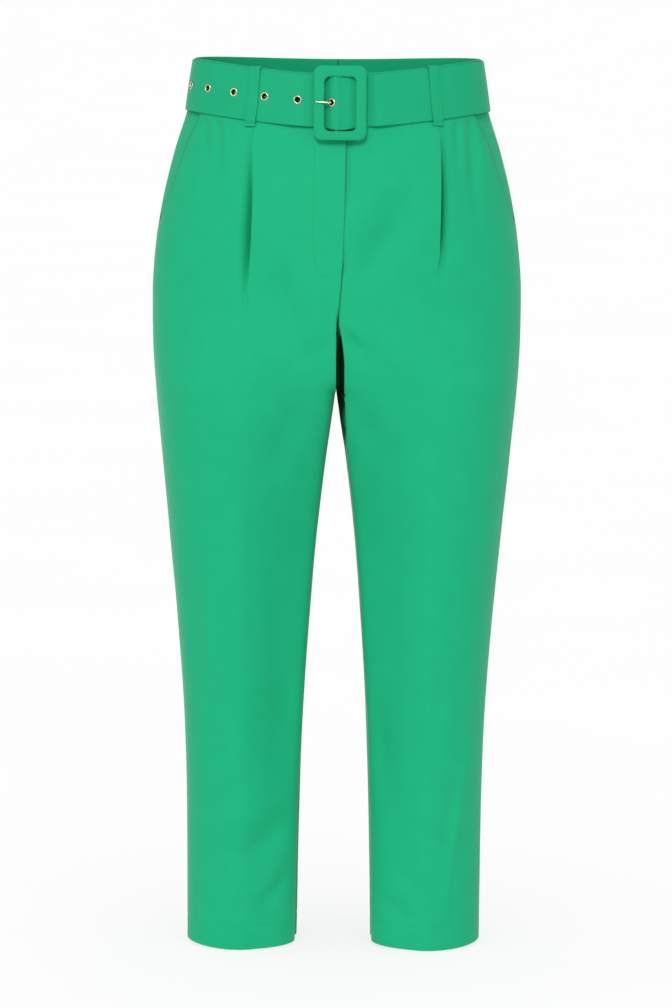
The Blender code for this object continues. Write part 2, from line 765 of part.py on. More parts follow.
def eyelets(collection, material):
    """Metal rings through the belt: a turned profile with a rolled front flange."""
    count = len(EYELET_PROFILE)
    points = [(radius * MM, 0, z * MM) for radius, z in EYELET_PROFILE]
    mesh = bpy.data.meshes.new("eyelet")
    mesh.from_pydata(points, [(row, (row + 1) % count) for row in range(count)], [])
    mesh.materials.append(material)
    for number, (middle, direction) in enumerate(eyelet_places(), 1):
        ring = bpy.data.objects.new(f"eyelet_{number}", mesh)
        ring.matrix_world = placed(middle, direction)
        collection.objects.link(ring)
        turned = ring.modifiers.new("turned", "SCREW")
        turned.steps = 14
        turned.render_steps = 14
        turned.use_merge_vertices = True
        turned.merge_threshold = 0.01 * MM
        turned.use_normal_flip = True


def main():
    for old in list(bpy.data.objects):
        bpy.data.objects.remove(old)
    trousers = bpy.data.collections.new("pleated_trousers")
    cutters = bpy.data.collections.new("cutters")
    bpy.context.scene.collection.children.link(trousers)
    bpy.context.scene.collection.children.link(cutters)
    cloth = principled("cloth", GREEN, 0.75)
    gold = principled("gold", GOLD, 0.3, 1.0)
    for side in (RIGHT, LEFT):
        front_panel(side, trousers, cloth)
        back_panel(side, trousers, cloth)
        pocket_facing(side, trousers, cloth)
        waistband(side, FRONT, trousers, cloth)
        waistband(side, BACK, trousers, cloth)
    belt_strap(trousers, cutters, cloth)
    for loop in LOOPS:
        belt_loop(*loop, trousers, cloth)
    buckle_frame(trousers, cloth)
    buckle_bar(trousers, gold)
    buckle_prong(trousers, gold)
    eyelets(trousers, gold)


main()
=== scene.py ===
"""High-waist pleated trousers in green crepe, with a belt and a covered buckle.

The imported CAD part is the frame. The sections follow the trousers as they are put
together. Lengths are in metres, front is -Y and the wearer's left is +X; MM turns
millimetres into metres.
"""

from math import cos, pi, radians, sin

import bpy
import numpy as np
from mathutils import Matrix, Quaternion, Vector


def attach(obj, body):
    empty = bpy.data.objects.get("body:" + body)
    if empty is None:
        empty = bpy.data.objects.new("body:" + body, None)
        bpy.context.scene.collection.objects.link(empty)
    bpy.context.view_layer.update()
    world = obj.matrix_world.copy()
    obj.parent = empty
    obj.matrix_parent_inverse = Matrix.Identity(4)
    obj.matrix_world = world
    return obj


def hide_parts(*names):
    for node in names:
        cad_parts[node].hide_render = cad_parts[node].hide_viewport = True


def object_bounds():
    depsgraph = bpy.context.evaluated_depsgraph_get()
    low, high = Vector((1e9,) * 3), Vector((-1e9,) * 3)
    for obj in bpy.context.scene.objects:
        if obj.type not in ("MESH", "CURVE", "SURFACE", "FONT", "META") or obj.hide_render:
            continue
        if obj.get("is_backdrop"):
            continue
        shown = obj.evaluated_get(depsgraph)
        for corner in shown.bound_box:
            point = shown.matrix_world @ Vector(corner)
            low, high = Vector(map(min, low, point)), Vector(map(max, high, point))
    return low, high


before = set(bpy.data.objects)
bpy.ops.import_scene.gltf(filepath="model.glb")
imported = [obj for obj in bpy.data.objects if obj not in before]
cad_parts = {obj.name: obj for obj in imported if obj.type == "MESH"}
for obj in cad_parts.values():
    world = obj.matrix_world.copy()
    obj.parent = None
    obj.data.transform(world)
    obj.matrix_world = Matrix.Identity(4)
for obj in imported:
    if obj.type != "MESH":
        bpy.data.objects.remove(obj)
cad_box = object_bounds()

MM = 0.001
RIGHT, LEFT = -1, 1
FRONT, BACK = -1, 1
SIDES = ((RIGHT, "right"), (LEFT, "left"))

# -----------------------------------------------------------------------------
# Front panels. Two lengths of crepe, each cut with a deep pleat that is held in
# the waist seam and opens out below the belt. Every edge is pressed under. The
# right one laps over the left one at the fly, and J stitching holds the fly.
# -----------------------------------------------------------------------------
SEAM_GAP = 0.05 * MM
CREPE_WALL = 0.55 * MM
FORK_HEIGHT = -339 * MM
FORK_TOP = -232 * MM
HEM = -931 * MM
BAND_SEAM = -47 * MM
POCKET_END = -180 * MM
WAIST_DROP = {FRONT: 11.8 * MM, BACK: 4.0 * MM}
HEM_DIP = 2.6 * MM

# The garment's outline: half width, depths before and behind the side seam, how far
# back the level oval sits, and its exponent, where 2 is an ellipse.
BODY_COLUMNS = ("height", "outer", "front", "back", "shift", "square")
BODY = (
    (15, 146.0, 96.5, 102.0, 0.0, 2.00),
    (0, 148.0, 98.0, 104.0, 0.0, 2.00),
    (-50, 155.0, 103.5, 110.5, 0.0, 2.00),
    (-95, 168.8, 110.5, 121.5, 0.0, 2.02),
    (-145, 181.0, 116.3, 131.5, 0.0, 2.05),
    (-195, 188.7, 119.6, 138.0, 0.0, 2.10),
    (-245, 191.9, 120.8, 139.8, -0.8, 2.16),
    (-295, 191.2, 118.8, 136.0, -2.0, 2.22),
    (-345, 187.8, 113.2, 126.5, -3.2, 2.28),
    (-410, 181.7, 104.5, 113.5, -4.5, 2.28),
    (-480, 175.0, 95.5, 101.5, -5.0, 2.25),
    (-590, 165.0, 82.0, 85.5, -4.2, 2.17),
    (-690, 158.4, 71.5, 73.0, -2.0, 2.10),
    (-790, 155.8, 64.5, 65.5, 1.0, 2.05),
    (-931, 155.3, 57.0, 58.0, 6.0, 2.00),
)
# How far each inseam stands from the centre plane.
INSEAM = (
    (-339, 0.0),
    (-365, 3.4),
    (-408, 9.4),
    (-484, 18.5),
    (-586, 26.6),
    (-689, 32.8),
    (-792, 36.1),
    (-931, 38.4),
)
# How far each leg's crease, and above it the pleat's lip, is from the centre plane.
CREASE_COLUMNS = ("height", "right", "left")
CREASE = (
    (-47, 83.8, 100.8),
    (-92, 84.0, 102.8),
    (-140, 84.8, 103.8),
    (-193, 87.2, 103.8),
    (-243, 91.0, 101.5),
    (-340, 96.5, 97.5),
    (-480, 96.5, 96.5),
    (-931, 96.8, 96.8),
)
# How far the pleat's lip stands up, and how deep the cloth beside it is drawn in.
PLEAT_COLUMNS = ("height", "right", "left", "right_hollow", "left_hollow")
PLEAT = (
    (-47, 0.2, 0.2, 0.0, 0.0),
    (-58, 0.4, 0.4, 0.2, 0.2),
    (-66, 1.3, 1.3, 0.8, 0.8),
    (-90, 1.9, 2.1, 2.6, 3.6),
    (-115, 2.4, 2.4, 6.5, 8.0),
    (-150, 2.6, 2.3, 12.5, 12.0),
    (-175, 2.3, 1.4, 14.0, 8.5),
    (-195, 1.7, 0.5, 11.0, 3.6),
    (-215, 1.0, 0.1, 6.5, 1.0),
    (-235, 0.3, 0.0, 2.4, 0.1),
    (-255, 0.0, 0.0, 0.5, 0.0),
    (-300, 0.0, 0.0, 0.0, 0.0),
)
PLEAT_ZONE = 5.5 * MM
PLEAT_OVERHANG = 3 * MM
# The lip dies away over one length towards the fly. The hollow is deepest this far
# beside the lip and dies away over the other length towards the side seam.
LIP_LENGTH = 26 * MM
HOLLOW_PLACE = 4.6 * MM
HOLLOW_LENGTH = 3.6 * MM
# How far the pocket's mouth stands before the side seam.
MOUTH = (
    (-47, 46.0),
    (-80, 39.0),
    (-115, 35.0),
    (-145, 28.0),
    (-164, 17.0),
    (-180, 0.0),
)
# Where the right panel's edge lies at the fly, past the centre plane.
FLY = (
    (15, 9.0),
    (-155, 7.8),
    (-205, 6.0),
    (-240, 3.3),
    (-275, 0.6),
    (-300, 0.0),
    (-339, 0.0),
)
FLY_END = -205 * MM
FLY_FADE = 21 * MM
FLY_LAP = 14 * MM
FLY_INSET = 1.9 * MM

# Soft folds in the hanging cloth, each a trough with a low ridge above it. x runs
# from the centre plane towards that side, and bow bends the fold upwards. Columns:
# x and z of one end, x and z of the other, depth, width, bow.
FOLDS = {
    (RIGHT, FRONT): (
        (78, -165, 34, -318, 5.5, 15, 0),
        (30, -318, 70, -452, 5.0, 17, 4),
        (128, 25, 119, -135, 4.6, 4.5, 0),
        (140, 20, 133, -118, 3.6, 4.5, 0),
        (114, 20, 108, -110, 2.0, 4, 0),
        (58, -560, 54, -800, 3.0, 14, 0),
        (32, -770, 104, -846, 4.2, 14, -3),
        (36, -836, 88, -902, 3.0, 8, -2),
        (150, -470, 140, -690, 2.4, 8, 0),
        (60, -72, 44, -150, 1.3, 9, 0),
    ),
    (LEFT, FRONT): (
        (92, -102, 10, -250, 5.6, 16, 0),
        (-4, -258, 30, -298, 4.2, 5, 0),
        (12, -330, 46, -420, 3.6, 12, 3),
        (132, 25, 142, -175, 4.4, 5, 0),
        (119, 20, 124, -130, 2.6, 4, 0),
        (146, -670, 112, -925, -2.3, 5, 0),
        (42, -630, 58, -800, 2.4, 10, 0),
        (44, -872, 90, -900, 1.8, 8, -3),
    ),
}


def through(knots, values, slopes, at):
    """A smooth curve's value at a place: between two knots it is the cubic that has
    their values and slopes."""
    row = np.clip(np.searchsorted(knots, at) - 1, 0, len(knots) - 2)
    span = knots[row + 1] - knots[row]
    part = (at - knots[row]) / span
    if values.ndim > 1:
        span, part = span[:, None], part[:, None]
    value = values[row] + (values[row + 1] - values[row]) * part**2 * (3 - 2 * part)
    value = value + slopes[row] * span * part * (1 - part) ** 2
    return value - slopes[row + 1] * span * part**2 * (1 - part)


def along(height, table, columns=("height", "value"), name="value"):
    """A table's column at any height: a smooth curve that never overshoots its rows,
    as no slope is over 2.5 times the gentler rise beside it."""
    rows = np.array(table, dtype=float)
    knots, values = -rows[:, 0], rows[:, columns.index(name)]
    rises = np.diff(values) / np.diff(knots)
    slopes = np.gradient(values, knots)
    gentle = 2.5 * np.minimum(np.abs(rises[1:]), np.abs(rises[:-1]))
    gentle = np.where(rises[1:] * rises[:-1] <= 0, 0, gentle)
    slopes[1:-1] = np.clip(slopes[1:-1], -gentle, gentle)
    at = np.clip(-np.asarray(height) / MM, knots[0], knots[-1])
    return through(knots, values, slopes, at) * (1.0 if name == "square" else MM)


def body(height, name):
    return along(height, BODY, BODY_COLUMNS, name)


def step(value, start, end):
    """0 before start, 1 after end, and a smooth rise between."""
    part = np.clip((value - start) / (end - start), 0, 1)
    return part * part * (3 - 2 * part)


def leg_oval(height):
    """Centre, half width and exponent of a leg's level oval. Above the fork each leg's
    oval grows across the centre until both are the whole body's."""
    outer = body(height, "outer")
    above = np.clip((height - FORK_HEIGHT) / (FORK_TOP - FORK_HEIGHT), 0, 1)
    below = along(height, INSEAM)
    joined = -outer * np.sin(pi / 2 * above) ** 1.5
    inner = np.where(height > FORK_HEIGHT, joined, below)
    return (outer + inner) / 2, (outer - inner) / 2, body(height, "square")


def depth_of(face, height):
    return body(height, "front" if face == FRONT else "back")


CORNER_SQUARE = 7.0
CORNER_LEAN = 0.46


def front_corner(across, height):
    """How a leg's oval changes in front, towards the other leg: an addition to its
    exponent, which squares it, and the share by which it lies back. Both rise by
    smooth steps at the fork and fall again down the leg."""
    place = step(-across, 0.1, 0.7) * (1 - step(-across, 0.975, 0.9995))
    level = step(-height, 262 * MM, 325 * MM)
    level = level * (1 - 0.8 * step(-height, 380 * MM, 900 * MM))
    lean = CORNER_LEAN * step(-across, -0.1, 1.0) * step(-height, 300 * MM, 520 * MM)
    lean = lean * (1 - 0.55 * step(-height, 700 * MM, -HEM))
    return CORNER_SQUARE * place * level, lean


def oval_place(face, turn, height):
    """A point on the oval and its level normal. turn is 0 at the side seam and pi at
    the inseam; x goes with cos(turn) and y with sin(turn), each to the power that
    squares the oval."""
    centre, radius, square = leg_oval(height)
    depth = depth_of(face, height)
    cosine = np.cos(turn)
    across = np.sign(cosine) * np.abs(cosine) ** (2 / square)
    forward = np.abs(np.sin(turn)) ** (2 / square)
    lean = 0.0
    if face == FRONT:
        extra, lean = front_corner(across, height)
        squarer = (1 - np.minimum(np.abs(across), 1) ** (square + extra)) ** (
            1 / (square + extra))
        forward = np.where(extra > 0, squarer, forward)
        square = square + extra
    normal_x = np.sign(across) * np.abs(across) ** (square - 1) / radius
    normal_y = face * forward ** (square - 1) / depth
    length = np.hypot(normal_x, normal_y)
    x = centre + radius * across
    y = body(height, "shift") + face * depth * forward * (1 - lean)
    return x, y, normal_x / length, normal_y / length


def turn_at_x(x, height):
    """The turn whose point lies x from the centre plane, or pi where there is none."""
    centre, radius, square = leg_oval(height)
    across = np.clip((x - centre) / radius, -1, 1)
    return np.arccos(np.sign(across) * np.abs(across) ** (square / 2))


def turn_at_reach(face, reach, height):
    """The turn whose point lies reach before, or behind, the side seam."""
    share = np.clip(reach / depth_of(face, height), 0, 1)
    return np.arcsin(share ** (body(height, "square") / 2))


def arc_length(face, turn, height):
    """The length that one radian of turn makes here, nearly."""
    radius = leg_oval(height)[1]
    return np.hypot(radius * np.sin(turn), depth_of(face, height) * np.cos(turn))


def waist_drop(face, turn, height):
    """The waist dips with the cube of sin(turn), most at the front, and less lower
    down."""
    dip = np.abs(np.sin(turn)) ** 3 * step(height, -190 * MM, BAND_SEAM)
    return WAIST_DROP[face] * dip


def fly_edge(height):
    return along(height, FLY)


def fold_depth(side, face, x, height):
    """How far the folds press in here. Across a fold the trough is a bell curve with a
    lower, wider one for the ridge beside it; along it a sine squared brings it in."""
    total = np.zeros(np.broadcast(x, height).shape)
    for x0, z0, x1, z1, depth, width, bow in np.array(FOLDS[side, face]) * MM:
        long, tall = x1 - x0, z1 - z0
        length = np.hypot(long, tall)
        share = ((x - x0) * long + (height - z0) * tall) / length**2
        inside = np.clip(share, 0, 1)
        off = ((x - x0) * tall - (height - z0) * long) / length
        off = off * np.sign(long + 1e-9) + 4 * bow * inside * (1 - inside)
        ends = np.sin(pi * inside) ** 2
        ridge = 0.45 * np.exp(-(((off + 2.1 * width) / (1.3 * width)) ** 2))
        total += depth * ends * (np.exp(-((off / width) ** 2)) - ridge)
    return total


def drape(side, face, x, height):
    """Broad waves of half a millimetre in the cloth: a few sines that run askew."""
    a = np.sin(x / 0.019 + height / 0.043 + side) * np.sin(height / 0.031 + 2 * face)
    b = np.sin(height / 0.058 - x / 0.035 + 1.7 * side + face)
    return (0.30 * a + 0.35 * b) * MM


FORK_DRAW = {FRONT: 76 * MM, BACK: 12 * MM}
UNDERCUT = 5 * MM
WEDGE_ASIDE = 2 * MM


def fork_crease(side, face, x, height):
    """How the centre seam is drawn in at the fork: the depth, and the distance towards
    that side. Across it is a flat-topped bell curve. In front the right thigh hides
    the seam, and the left one's corner is undercut, so a dark wedge shows between."""
    if face == BACK:
        reach = step(-height, 246 * MM, 318 * MM) * step(height, FORK_HEIGHT, -330 * MM)
        return FORK_DRAW[BACK] * reach * np.exp(-((x / (2.5 * MM)) ** 4)), 0.0
    reach = step(-height, 240 * MM, 312 * MM) * step(height, -430 * MM, -336 * MM)
    wide = (0.3 if side == RIGHT else 0.9 + 4.6 * reach) * MM
    bell = np.exp(-((np.maximum(x - along(height, INSEAM), 0) / wide) ** 4))
    undercut = UNDERCUT * (side == LEFT) * 4 * bell * (1 - bell)
    aside = undercut - side * WEDGE_ASIDE * bell
    return FORK_DRAW[FRONT] * reach**2 * bell, reach * aside


def cloth_points(side, face, turn, height, raised=0.0, held=1.0, depth=0.0):
    """Points of the trousers' cloth. raised is relief over the plain form, held is 0
    at a seam where folds end, and depth is how far a turned edge lies under the face.
    Relief near the centre plane moves the cloth forwards or back only."""
    x0, y0, normal_x, normal_y = oval_place(face, turn, height)
    soft = drape(side, face, x0, height) - fold_depth(side, face, x0, height)
    raised = raised + soft * held
    x = x0 + normal_x * (raised * np.clip(x0 / (15 * MM), 0, 1) - depth)
    room = step(np.abs(y0 - body(height, "shift")), 0, 70 * MM)
    drawn, aside = fork_crease(side, face, x0, height)
    x = x + aside * room
    y = y0 + normal_y * (raised - depth) - face * drawn * room
    dip = HEM_DIP * (face == FRONT) * np.sin(turn) ** 2 * step(-height, 850 * MM, -HEM)
    return np.stack([side * x, y, height - dip], axis=-1)


INSEAM_TUCK = {RIGHT: 2.3 * MM, LEFT: 1.8 * MM}


def inseam_tuck(side, height, inner, width):
    """How far the cloth beside an inseam is drawn in, so that the seam lies just inside
    the lower leg's outline. It dies away over about the width."""
    low = step(-height, 480 * MM, 740 * MM) * (1 + step(-height, 700 * MM, -HEM))
    return INSEAM_TUCK[side] * low * np.exp(-np.abs(inner) / width)


FOLD_RADIUS = 0.55 * MM
HEM_TURN = 24 * MM
HEM_GROOVE = 0.28 * MM
BELOW_BELT = (54 * MM, 64 * MM)
ALLOWANCE = 9 * MM
HEM_ALLOWANCE = 1.6 * MM
THIGH = -300 * MM
SHIN = -900 * MM
# Folds die away over this distance from a seam.
SEAM_HOLD = 16 * MM
# Marks for the material are distances, measured no further than this.
FAR = 20 * MM


def below_belt(height):
    """0 under the belt, where the cloth is held flat, and 1 just below it."""
    return step(-height, *BELOW_BELT)


def pressed_edge(reach, radius=FOLD_RADIUS):
    """Places across an edge that is pressed under, from the end of the allowance round
    the fold to the face: distance in from the fold, and depth under the face. The
    fold is a half circle."""
    bend = np.linspace(0, pi, 6)
    flat = radius + (reach - radius) * np.array((1.0, 0.6, 0.3))
    fold = radius * (1 - np.sin(bend)) + 0 * flat[..., :1]
    deep = radius * (1 + np.cos(bend)) + 0 * flat[..., :1]
    deep = np.concatenate([2 * radius + 0 * flat, deep], -1)
    return np.concatenate([flat, fold], -1), deep


def centre_edge(height):
    """The allowance and the fold's radius at the centre seam. Over the fork the seam is
    clipped narrow and closes tightly."""
    tight = step(-height, 246 * MM, 290 * MM) * step(height, -348 * MM, -339 * MM)
    return allowance(height) * (1 - 0.8 * tight), FOLD_RADIUS * (1 - 0.8 * tight)


def panel_rows():
    """Heights down a panel and the depth under its face, as columns. They end with the
    hem: a half circle round its edge, then up behind the face."""
    top = np.linspace(BAND_SEAM, THIGH, 102)
    leg = np.linspace(THIGH, SHIN, 146)[1:]
    hem = np.linspace(SHIN, HEM + FOLD_RADIUS, 24)[1:]
    bend = np.linspace(0, pi, 7)[1:]
    fold = HEM + FOLD_RADIUS * (1 - np.sin(bend))
    turned = np.linspace(HEM + FOLD_RADIUS, HEM + HEM_TURN, 9)[1:]
    height = np.concatenate([top, leg, hem, fold, turned])
    depth = np.zeros(len(height))
    under = len(fold) + len(turned)
    depth[-under:-len(turned)] = FOLD_RADIUS * (1 - np.cos(bend))
    depth[-len(turned):] = 2 * FOLD_RADIUS
    return height[:, None], depth[:, None]


def allowance(height):
    """The seam allowance behind an edge, trimmed narrow inside the hem."""
    more = ALLOWANCE - HEM_ALLOWANCE
    return HEM_ALLOWANCE + more * step(height, SHIN - 12 * MM, SHIN)


def hem_mark(height, depth):
    """The hem's end shows through as a faint groove all round: a bell curve."""
    off = (height - HEM - HEM_TURN) / (1.3 * MM)
    return -HEM_GROOVE * np.exp(-(off**2)) * (depth == 0)


def grid_faces(rows, columns, closed=False, looped=False):
    """A grid's faces. closed joins its last column to the first, looped its rows."""
    number = np.arange(rows * columns).reshape(rows, columns)
    if closed:
        number = np.concatenate([number, number[:, :1]], axis=1)
    if looped:
        number = np.concatenate([number, number[:1]])
    corners = (number[:-1, :-1], number[:-1, 1:], number[1:, 1:], number[1:, :-1])
    return np.stack(corners, axis=-1).reshape(-1, 4)


def new_piece(name, points, faces, material, uv=None, marks=None):
    """An object from arrays of points and four-cornered faces. uv is one place on the
    flat cloth, in metres, for each point; marks are further values for each point."""
    mesh = bpy.data.meshes.new(name)
    points = np.asarray(points, dtype=np.float32).reshape(-1, 3)
    mesh.vertices.add(len(points))
    mesh.vertices.foreach_set("co", points.ravel())
    mesh.loops.add(faces.size)
    mesh.loops.foreach_set("vertex_index", faces.astype(np.int32).ravel())
    mesh.polygons.add(len(faces))
    mesh.polygons.foreach_set("loop_start", np.arange(0, faces.size, 4, dtype=np.int32))
    mesh.update(calc_edges=True)
    if uv is not None:
        places = np.asarray(uv, dtype=np.float32).reshape(-1, 2)[faces.ravel()]
        mesh.uv_layers.new(name="cut").data.foreach_set("uv", places.ravel())
    for mark, values in (marks or {}).items():
        values = np.asarray(values, dtype=np.float32).ravel()
        mesh.attributes.new(mark, "FLOAT", "POINT").data.foreach_set("value", values)
    mesh.shade_smooth()
    mesh.materials.append(material)
    piece = bpy.data.objects.new(name, mesh)
    bpy.context.scene.collection.objects.link(piece)
    return piece


def give_wall(piece, thickness):
    """The cloth's thickness, laid on the inside of the surface."""
    wall = piece.modifiers.new("wall", "SOLIDIFY")
    wall.thickness = thickness
    wall.offset = -1


def lengths(line):
    """How far along a line each of its points is."""
    return np.pad(np.cumsum(np.linalg.norm(np.diff(line, axis=0), axis=-1)), (1, 0))


def unit(vectors):
    """The same directions, each with a length of 1."""
    return vectors / np.linalg.norm(vectors, axis=-1, keepdims=True)


def flat_places(points, crease):
    """Where each point lies on the flat cloth: the distance across from the crease's
    column and down that column."""
    across = np.cumsum(np.linalg.norm(np.diff(points, axis=1), axis=-1), axis=1)
    across = np.pad(across, ((0, 0), (1, 0)))
    across = across - across[:, crease, None]
    down = np.broadcast_to(lengths(points[:, crease])[:, None], across.shape)
    return np.stack([across, -down], axis=-1)


class Value:
    """A shader socket that carries a number. Arithmetic on it adds Math nodes."""

    def __init__(self, tree, socket):
        self.tree, self.socket = tree, socket

    def math(self, operation, *others):
        inputs = dict(enumerate((self, *others)))
        return add_node(self.tree, "ShaderNodeMath", {"operation": operation}, inputs)

    def __add__(self, other):
        return self.math("ADD", other)

    def __sub__(self, other):
        return self.math("SUBTRACT", other)

    def __mul__(self, other):
        return self.math("MULTIPLY", other)

    def __truediv__(self, other):
        return self.math("DIVIDE", other)

    def __rsub__(self, other):
        return self.math("MULTIPLY", -1.0) + other

    def __neg__(self):
        return self.math("MULTIPLY", -1.0)

    __radd__ = __add__
    __rmul__ = __mul__

    def wave(self, length):
        """A sine that repeats over this length."""
        return (self * (2 * pi / length)).math("SINE")

    def bell(self, width):
        """1 where the value is 0, falling to nothing over a few widths."""
        return (-((self / width) * (self / width))).math("EXPONENT")


def add_node(tree, kind, settings, inputs, output=0):
    """Adds a node: its settings first, then values or links for its sockets."""
    node = tree.nodes.new(kind)
    for name, setting in settings.items():
        setattr(node, name, setting)
    for name, value in inputs.items():
        if isinstance(value, Value):
            tree.links.new(value.socket, node.inputs[name])
        else:
            node.inputs[name].default_value = value
    return Value(tree, node.outputs[output])


def noise(tree, place, size, detail=2.0, output=0):
    """Smooth noise whose blots are about this size."""
    inputs = {"Vector": place, "Scale": 1 / size, "Detail": detail}
    return add_node(tree, "ShaderNodeTexNoise", {}, inputs, output)


def tones(tree, share, first, second):
    """A colour between two, first where share is 0. Each is a socket's or three
    numbers."""
    colours = [tone if isinstance(tone, Value) else (*tone, 1.0)
               for tone in (first, second)]
    inputs = {0: share, 6: colours[0], 7: colours[1]}
    return add_node(tree, "ShaderNodeMix", {"data_type": "RGBA"}, inputs, 2)


def point_mark(tree, name):
    """The value that new_piece gave each point under this name."""
    return add_node(tree, "ShaderNodeAttribute", {"attribute_name": name}, {}, 2)


def give_surface(tree, shader, colour, rough, relief, distance, strength=1.0):
    """Gives a surface its colour, its roughness and a bump from its relief."""
    inputs = {"Height": relief, "Distance": distance, "Strength": strength}
    bump = add_node(tree, "ShaderNodeBump", {}, inputs)
    for name, value in (("Base Color", colour), ("Roughness", rough), ("Normal", bump)):
        tree.links.new(value.socket, shader.inputs[name])


def new_material(name):
    material = bpy.data.materials.new(name)
    material.use_nodes = True
    shader = material.node_tree.nodes["Principled BSDF"]
    return material, material.node_tree, shader


DYES = np.array(((0.003, 0.305, 0.137), (0.007, 0.367, 0.173)))
# The crepe of the belt, loops and buckle is darkened by this share: painted shade.
PLAIN_PAINTED_SHADE = 0.93
# Painted shade along the pressed seams and pocket mouths.
SEAM_PAINTED_SHADE = (0.001, 0.12, 0.05)
# Painted shade in a deep fold, mixed in as a dull dark shader.
FOLD_PAINTED_SHADE = (0.002, 0.13, 0.05)
CREPE_FINISH = {
    "Specular IOR Level": 0.16,
    "Sheen Weight": 0.17,
    "Sheen Roughness": 0.35,
    "Sheen Tint": (0.70, 1.0, 0.86, 1.0),
}


def crepe_material(name, stitched):
    """Matt green crepe: a plain weave of crinkled threads with a pebbled face and a dry
    sheen where it turns away. stitched adds the grooves of the stitching with painted
    shade in them, painted shade along the pressed seams and pocket mouths with small
    puckers beside them, and painted shade in a deep fold. Without stitched the colour
    is darkened a little as painted shade."""
    material, tree, shader = new_material(name)
    cut = add_node(tree, "ShaderNodeUVMap", {"uv_map": "cut"}, {})
    across = add_node(tree, "ShaderNodeSeparateXYZ", {}, {0: cut}, 0)
    down = add_node(tree, "ShaderNodeSeparateXYZ", {}, {0: cut}, 1)
    pebbles = noise(tree, cut, 1.5 * MM, 3.0)
    crinkle = noise(tree, cut, 0.5 * MM, 1.0)
    weave = across.wave(0.9 * MM) * down.wave(0.9 * MM)
    blotches = noise(tree, cut, 26 * MM, 2.0)
    height = pebbles * 0.16 + crinkle * 0.05 + weave * 0.03
    tone = pebbles * 0.35 + crinkle * 0.2 + weave * 0.08 + blotches * 0.45
    rough = 0.70 + pebbles * 0.14
    if stitched:
        seam = point_mark(tree, "seam")
        beside = seam.bell(4.5 * MM)
        pucker = noise(tree, down * (1 / (7 * MM)), 1.0, 1.0)
        groove = point_mark(tree, "stitch").bell(0.9 * MM)
        height = height + pucker * beside * 0.5 - groove * 0.16
        # The colour darkens in the stitch groove: painted shade.
        tone = tone - groove * 0.15
        rough = rough - seam.bell(1.2 * MM) * 0.08
    # Without stitching the whole colour is darkened: painted shade for the belt, loops and
    # buckle.
    colour = tones(tree, tone, *(DYES if stitched else PLAIN_PAINTED_SHADE * DYES))
    if stitched:
        # Painted shade along the pressed seams and pocket mouths.
        colour = tones(tree, seam.bell(0.9 * MM) * 0.6, colour, SEAM_PAINTED_SHADE)
        # A dull dark shader mixed in by the hollow mark: painted shade in a deep fold.
        inputs = {"Base Color": (*FOLD_PAINTED_SHADE, 1.0), "Roughness": 1.0,
                  "Specular IOR Level": 0.0}
        shade = add_node(tree, "ShaderNodeBsdfPrincipled", {}, inputs)
        plain = Value(tree, shader.outputs[0])
        inputs = {0: point_mark(tree, "hollow"), 1: plain, 2: shade}
        mixed = add_node(tree, "ShaderNodeMixShader", {}, inputs)
        tree.links.new(mixed.socket, tree.nodes["Material Output"].inputs["Surface"])
    give_surface(tree, shader, colour, rough, height, 1 * MM, 0.55)
    for socket, value in CREPE_FINISH.items():
        shader.inputs[socket].default_value = value
    return material


crepe = crepe_material("green_crepe", True)
# The darker copy, with painted shade in its colour, covers the belt, loops and buckle.
plain_crepe = crepe_material("green_crepe_plain", False)

# The J of stitching beside the fly, on the right panel, in front view.
J_LINE = (
    (-23.4, -47.5),
    (-23.4, -80),
    (-24.0, -140),
    (-24.2, -186),
    (-21.5, -203),
    (-15.1, -214),
    (-6.0, -217),
    (4.0, -215),
)
POCKET_STITCH = 6 * MM
STITCH_PITCH = 2.8 * MM
THREAD = 0.2 * MM
THREAD_SIDES = 6
# A stitch from end to end: the place along it in pitches, and the height over the
# cloth and the thickness in thicknesses of the thread.
STITCH = (
    (-0.40, -1.6, 0.35),
    (-0.34, -0.2, 0.90),
    (0.00, 0.7, 1.00),
    (0.34, -0.2, 0.90),
    (0.40, -1.6, 0.35),
)


def eased(points, spacing):
    """A Catmull-Rom curve through the points, in even steps of about spacing."""
    points = np.asarray(points, dtype=float)
    knots = lengths(points)
    slopes = np.gradient(points, knots, axis=0)
    at = np.linspace(0, knots[-1], int(np.ceil(knots[-1] / spacing)) + 1)
    return through(knots, points, slopes, at)


def signed_distance(x, z, line):
    """The distance to a line in front view, positive on its left as it runs."""
    off = np.stack(np.broadcast_arrays(x, z), axis=-1)[..., None, :] - line[:-1]
    run = np.diff(line, axis=0)
    share = np.clip((off * run).sum(-1) / (run**2).sum(-1), 0, 1)
    near = np.linalg.norm(off - share[..., None] * run, axis=-1)
    turned = run[:, 0] * off[..., 1] - run[:, 1] * off[..., 0]
    pick = near.argmin(axis=-1)[..., None]
    sign = np.sign(np.take_along_axis(turned, pick, -1))
    return (sign * np.take_along_axis(near, pick, -1))[..., 0]


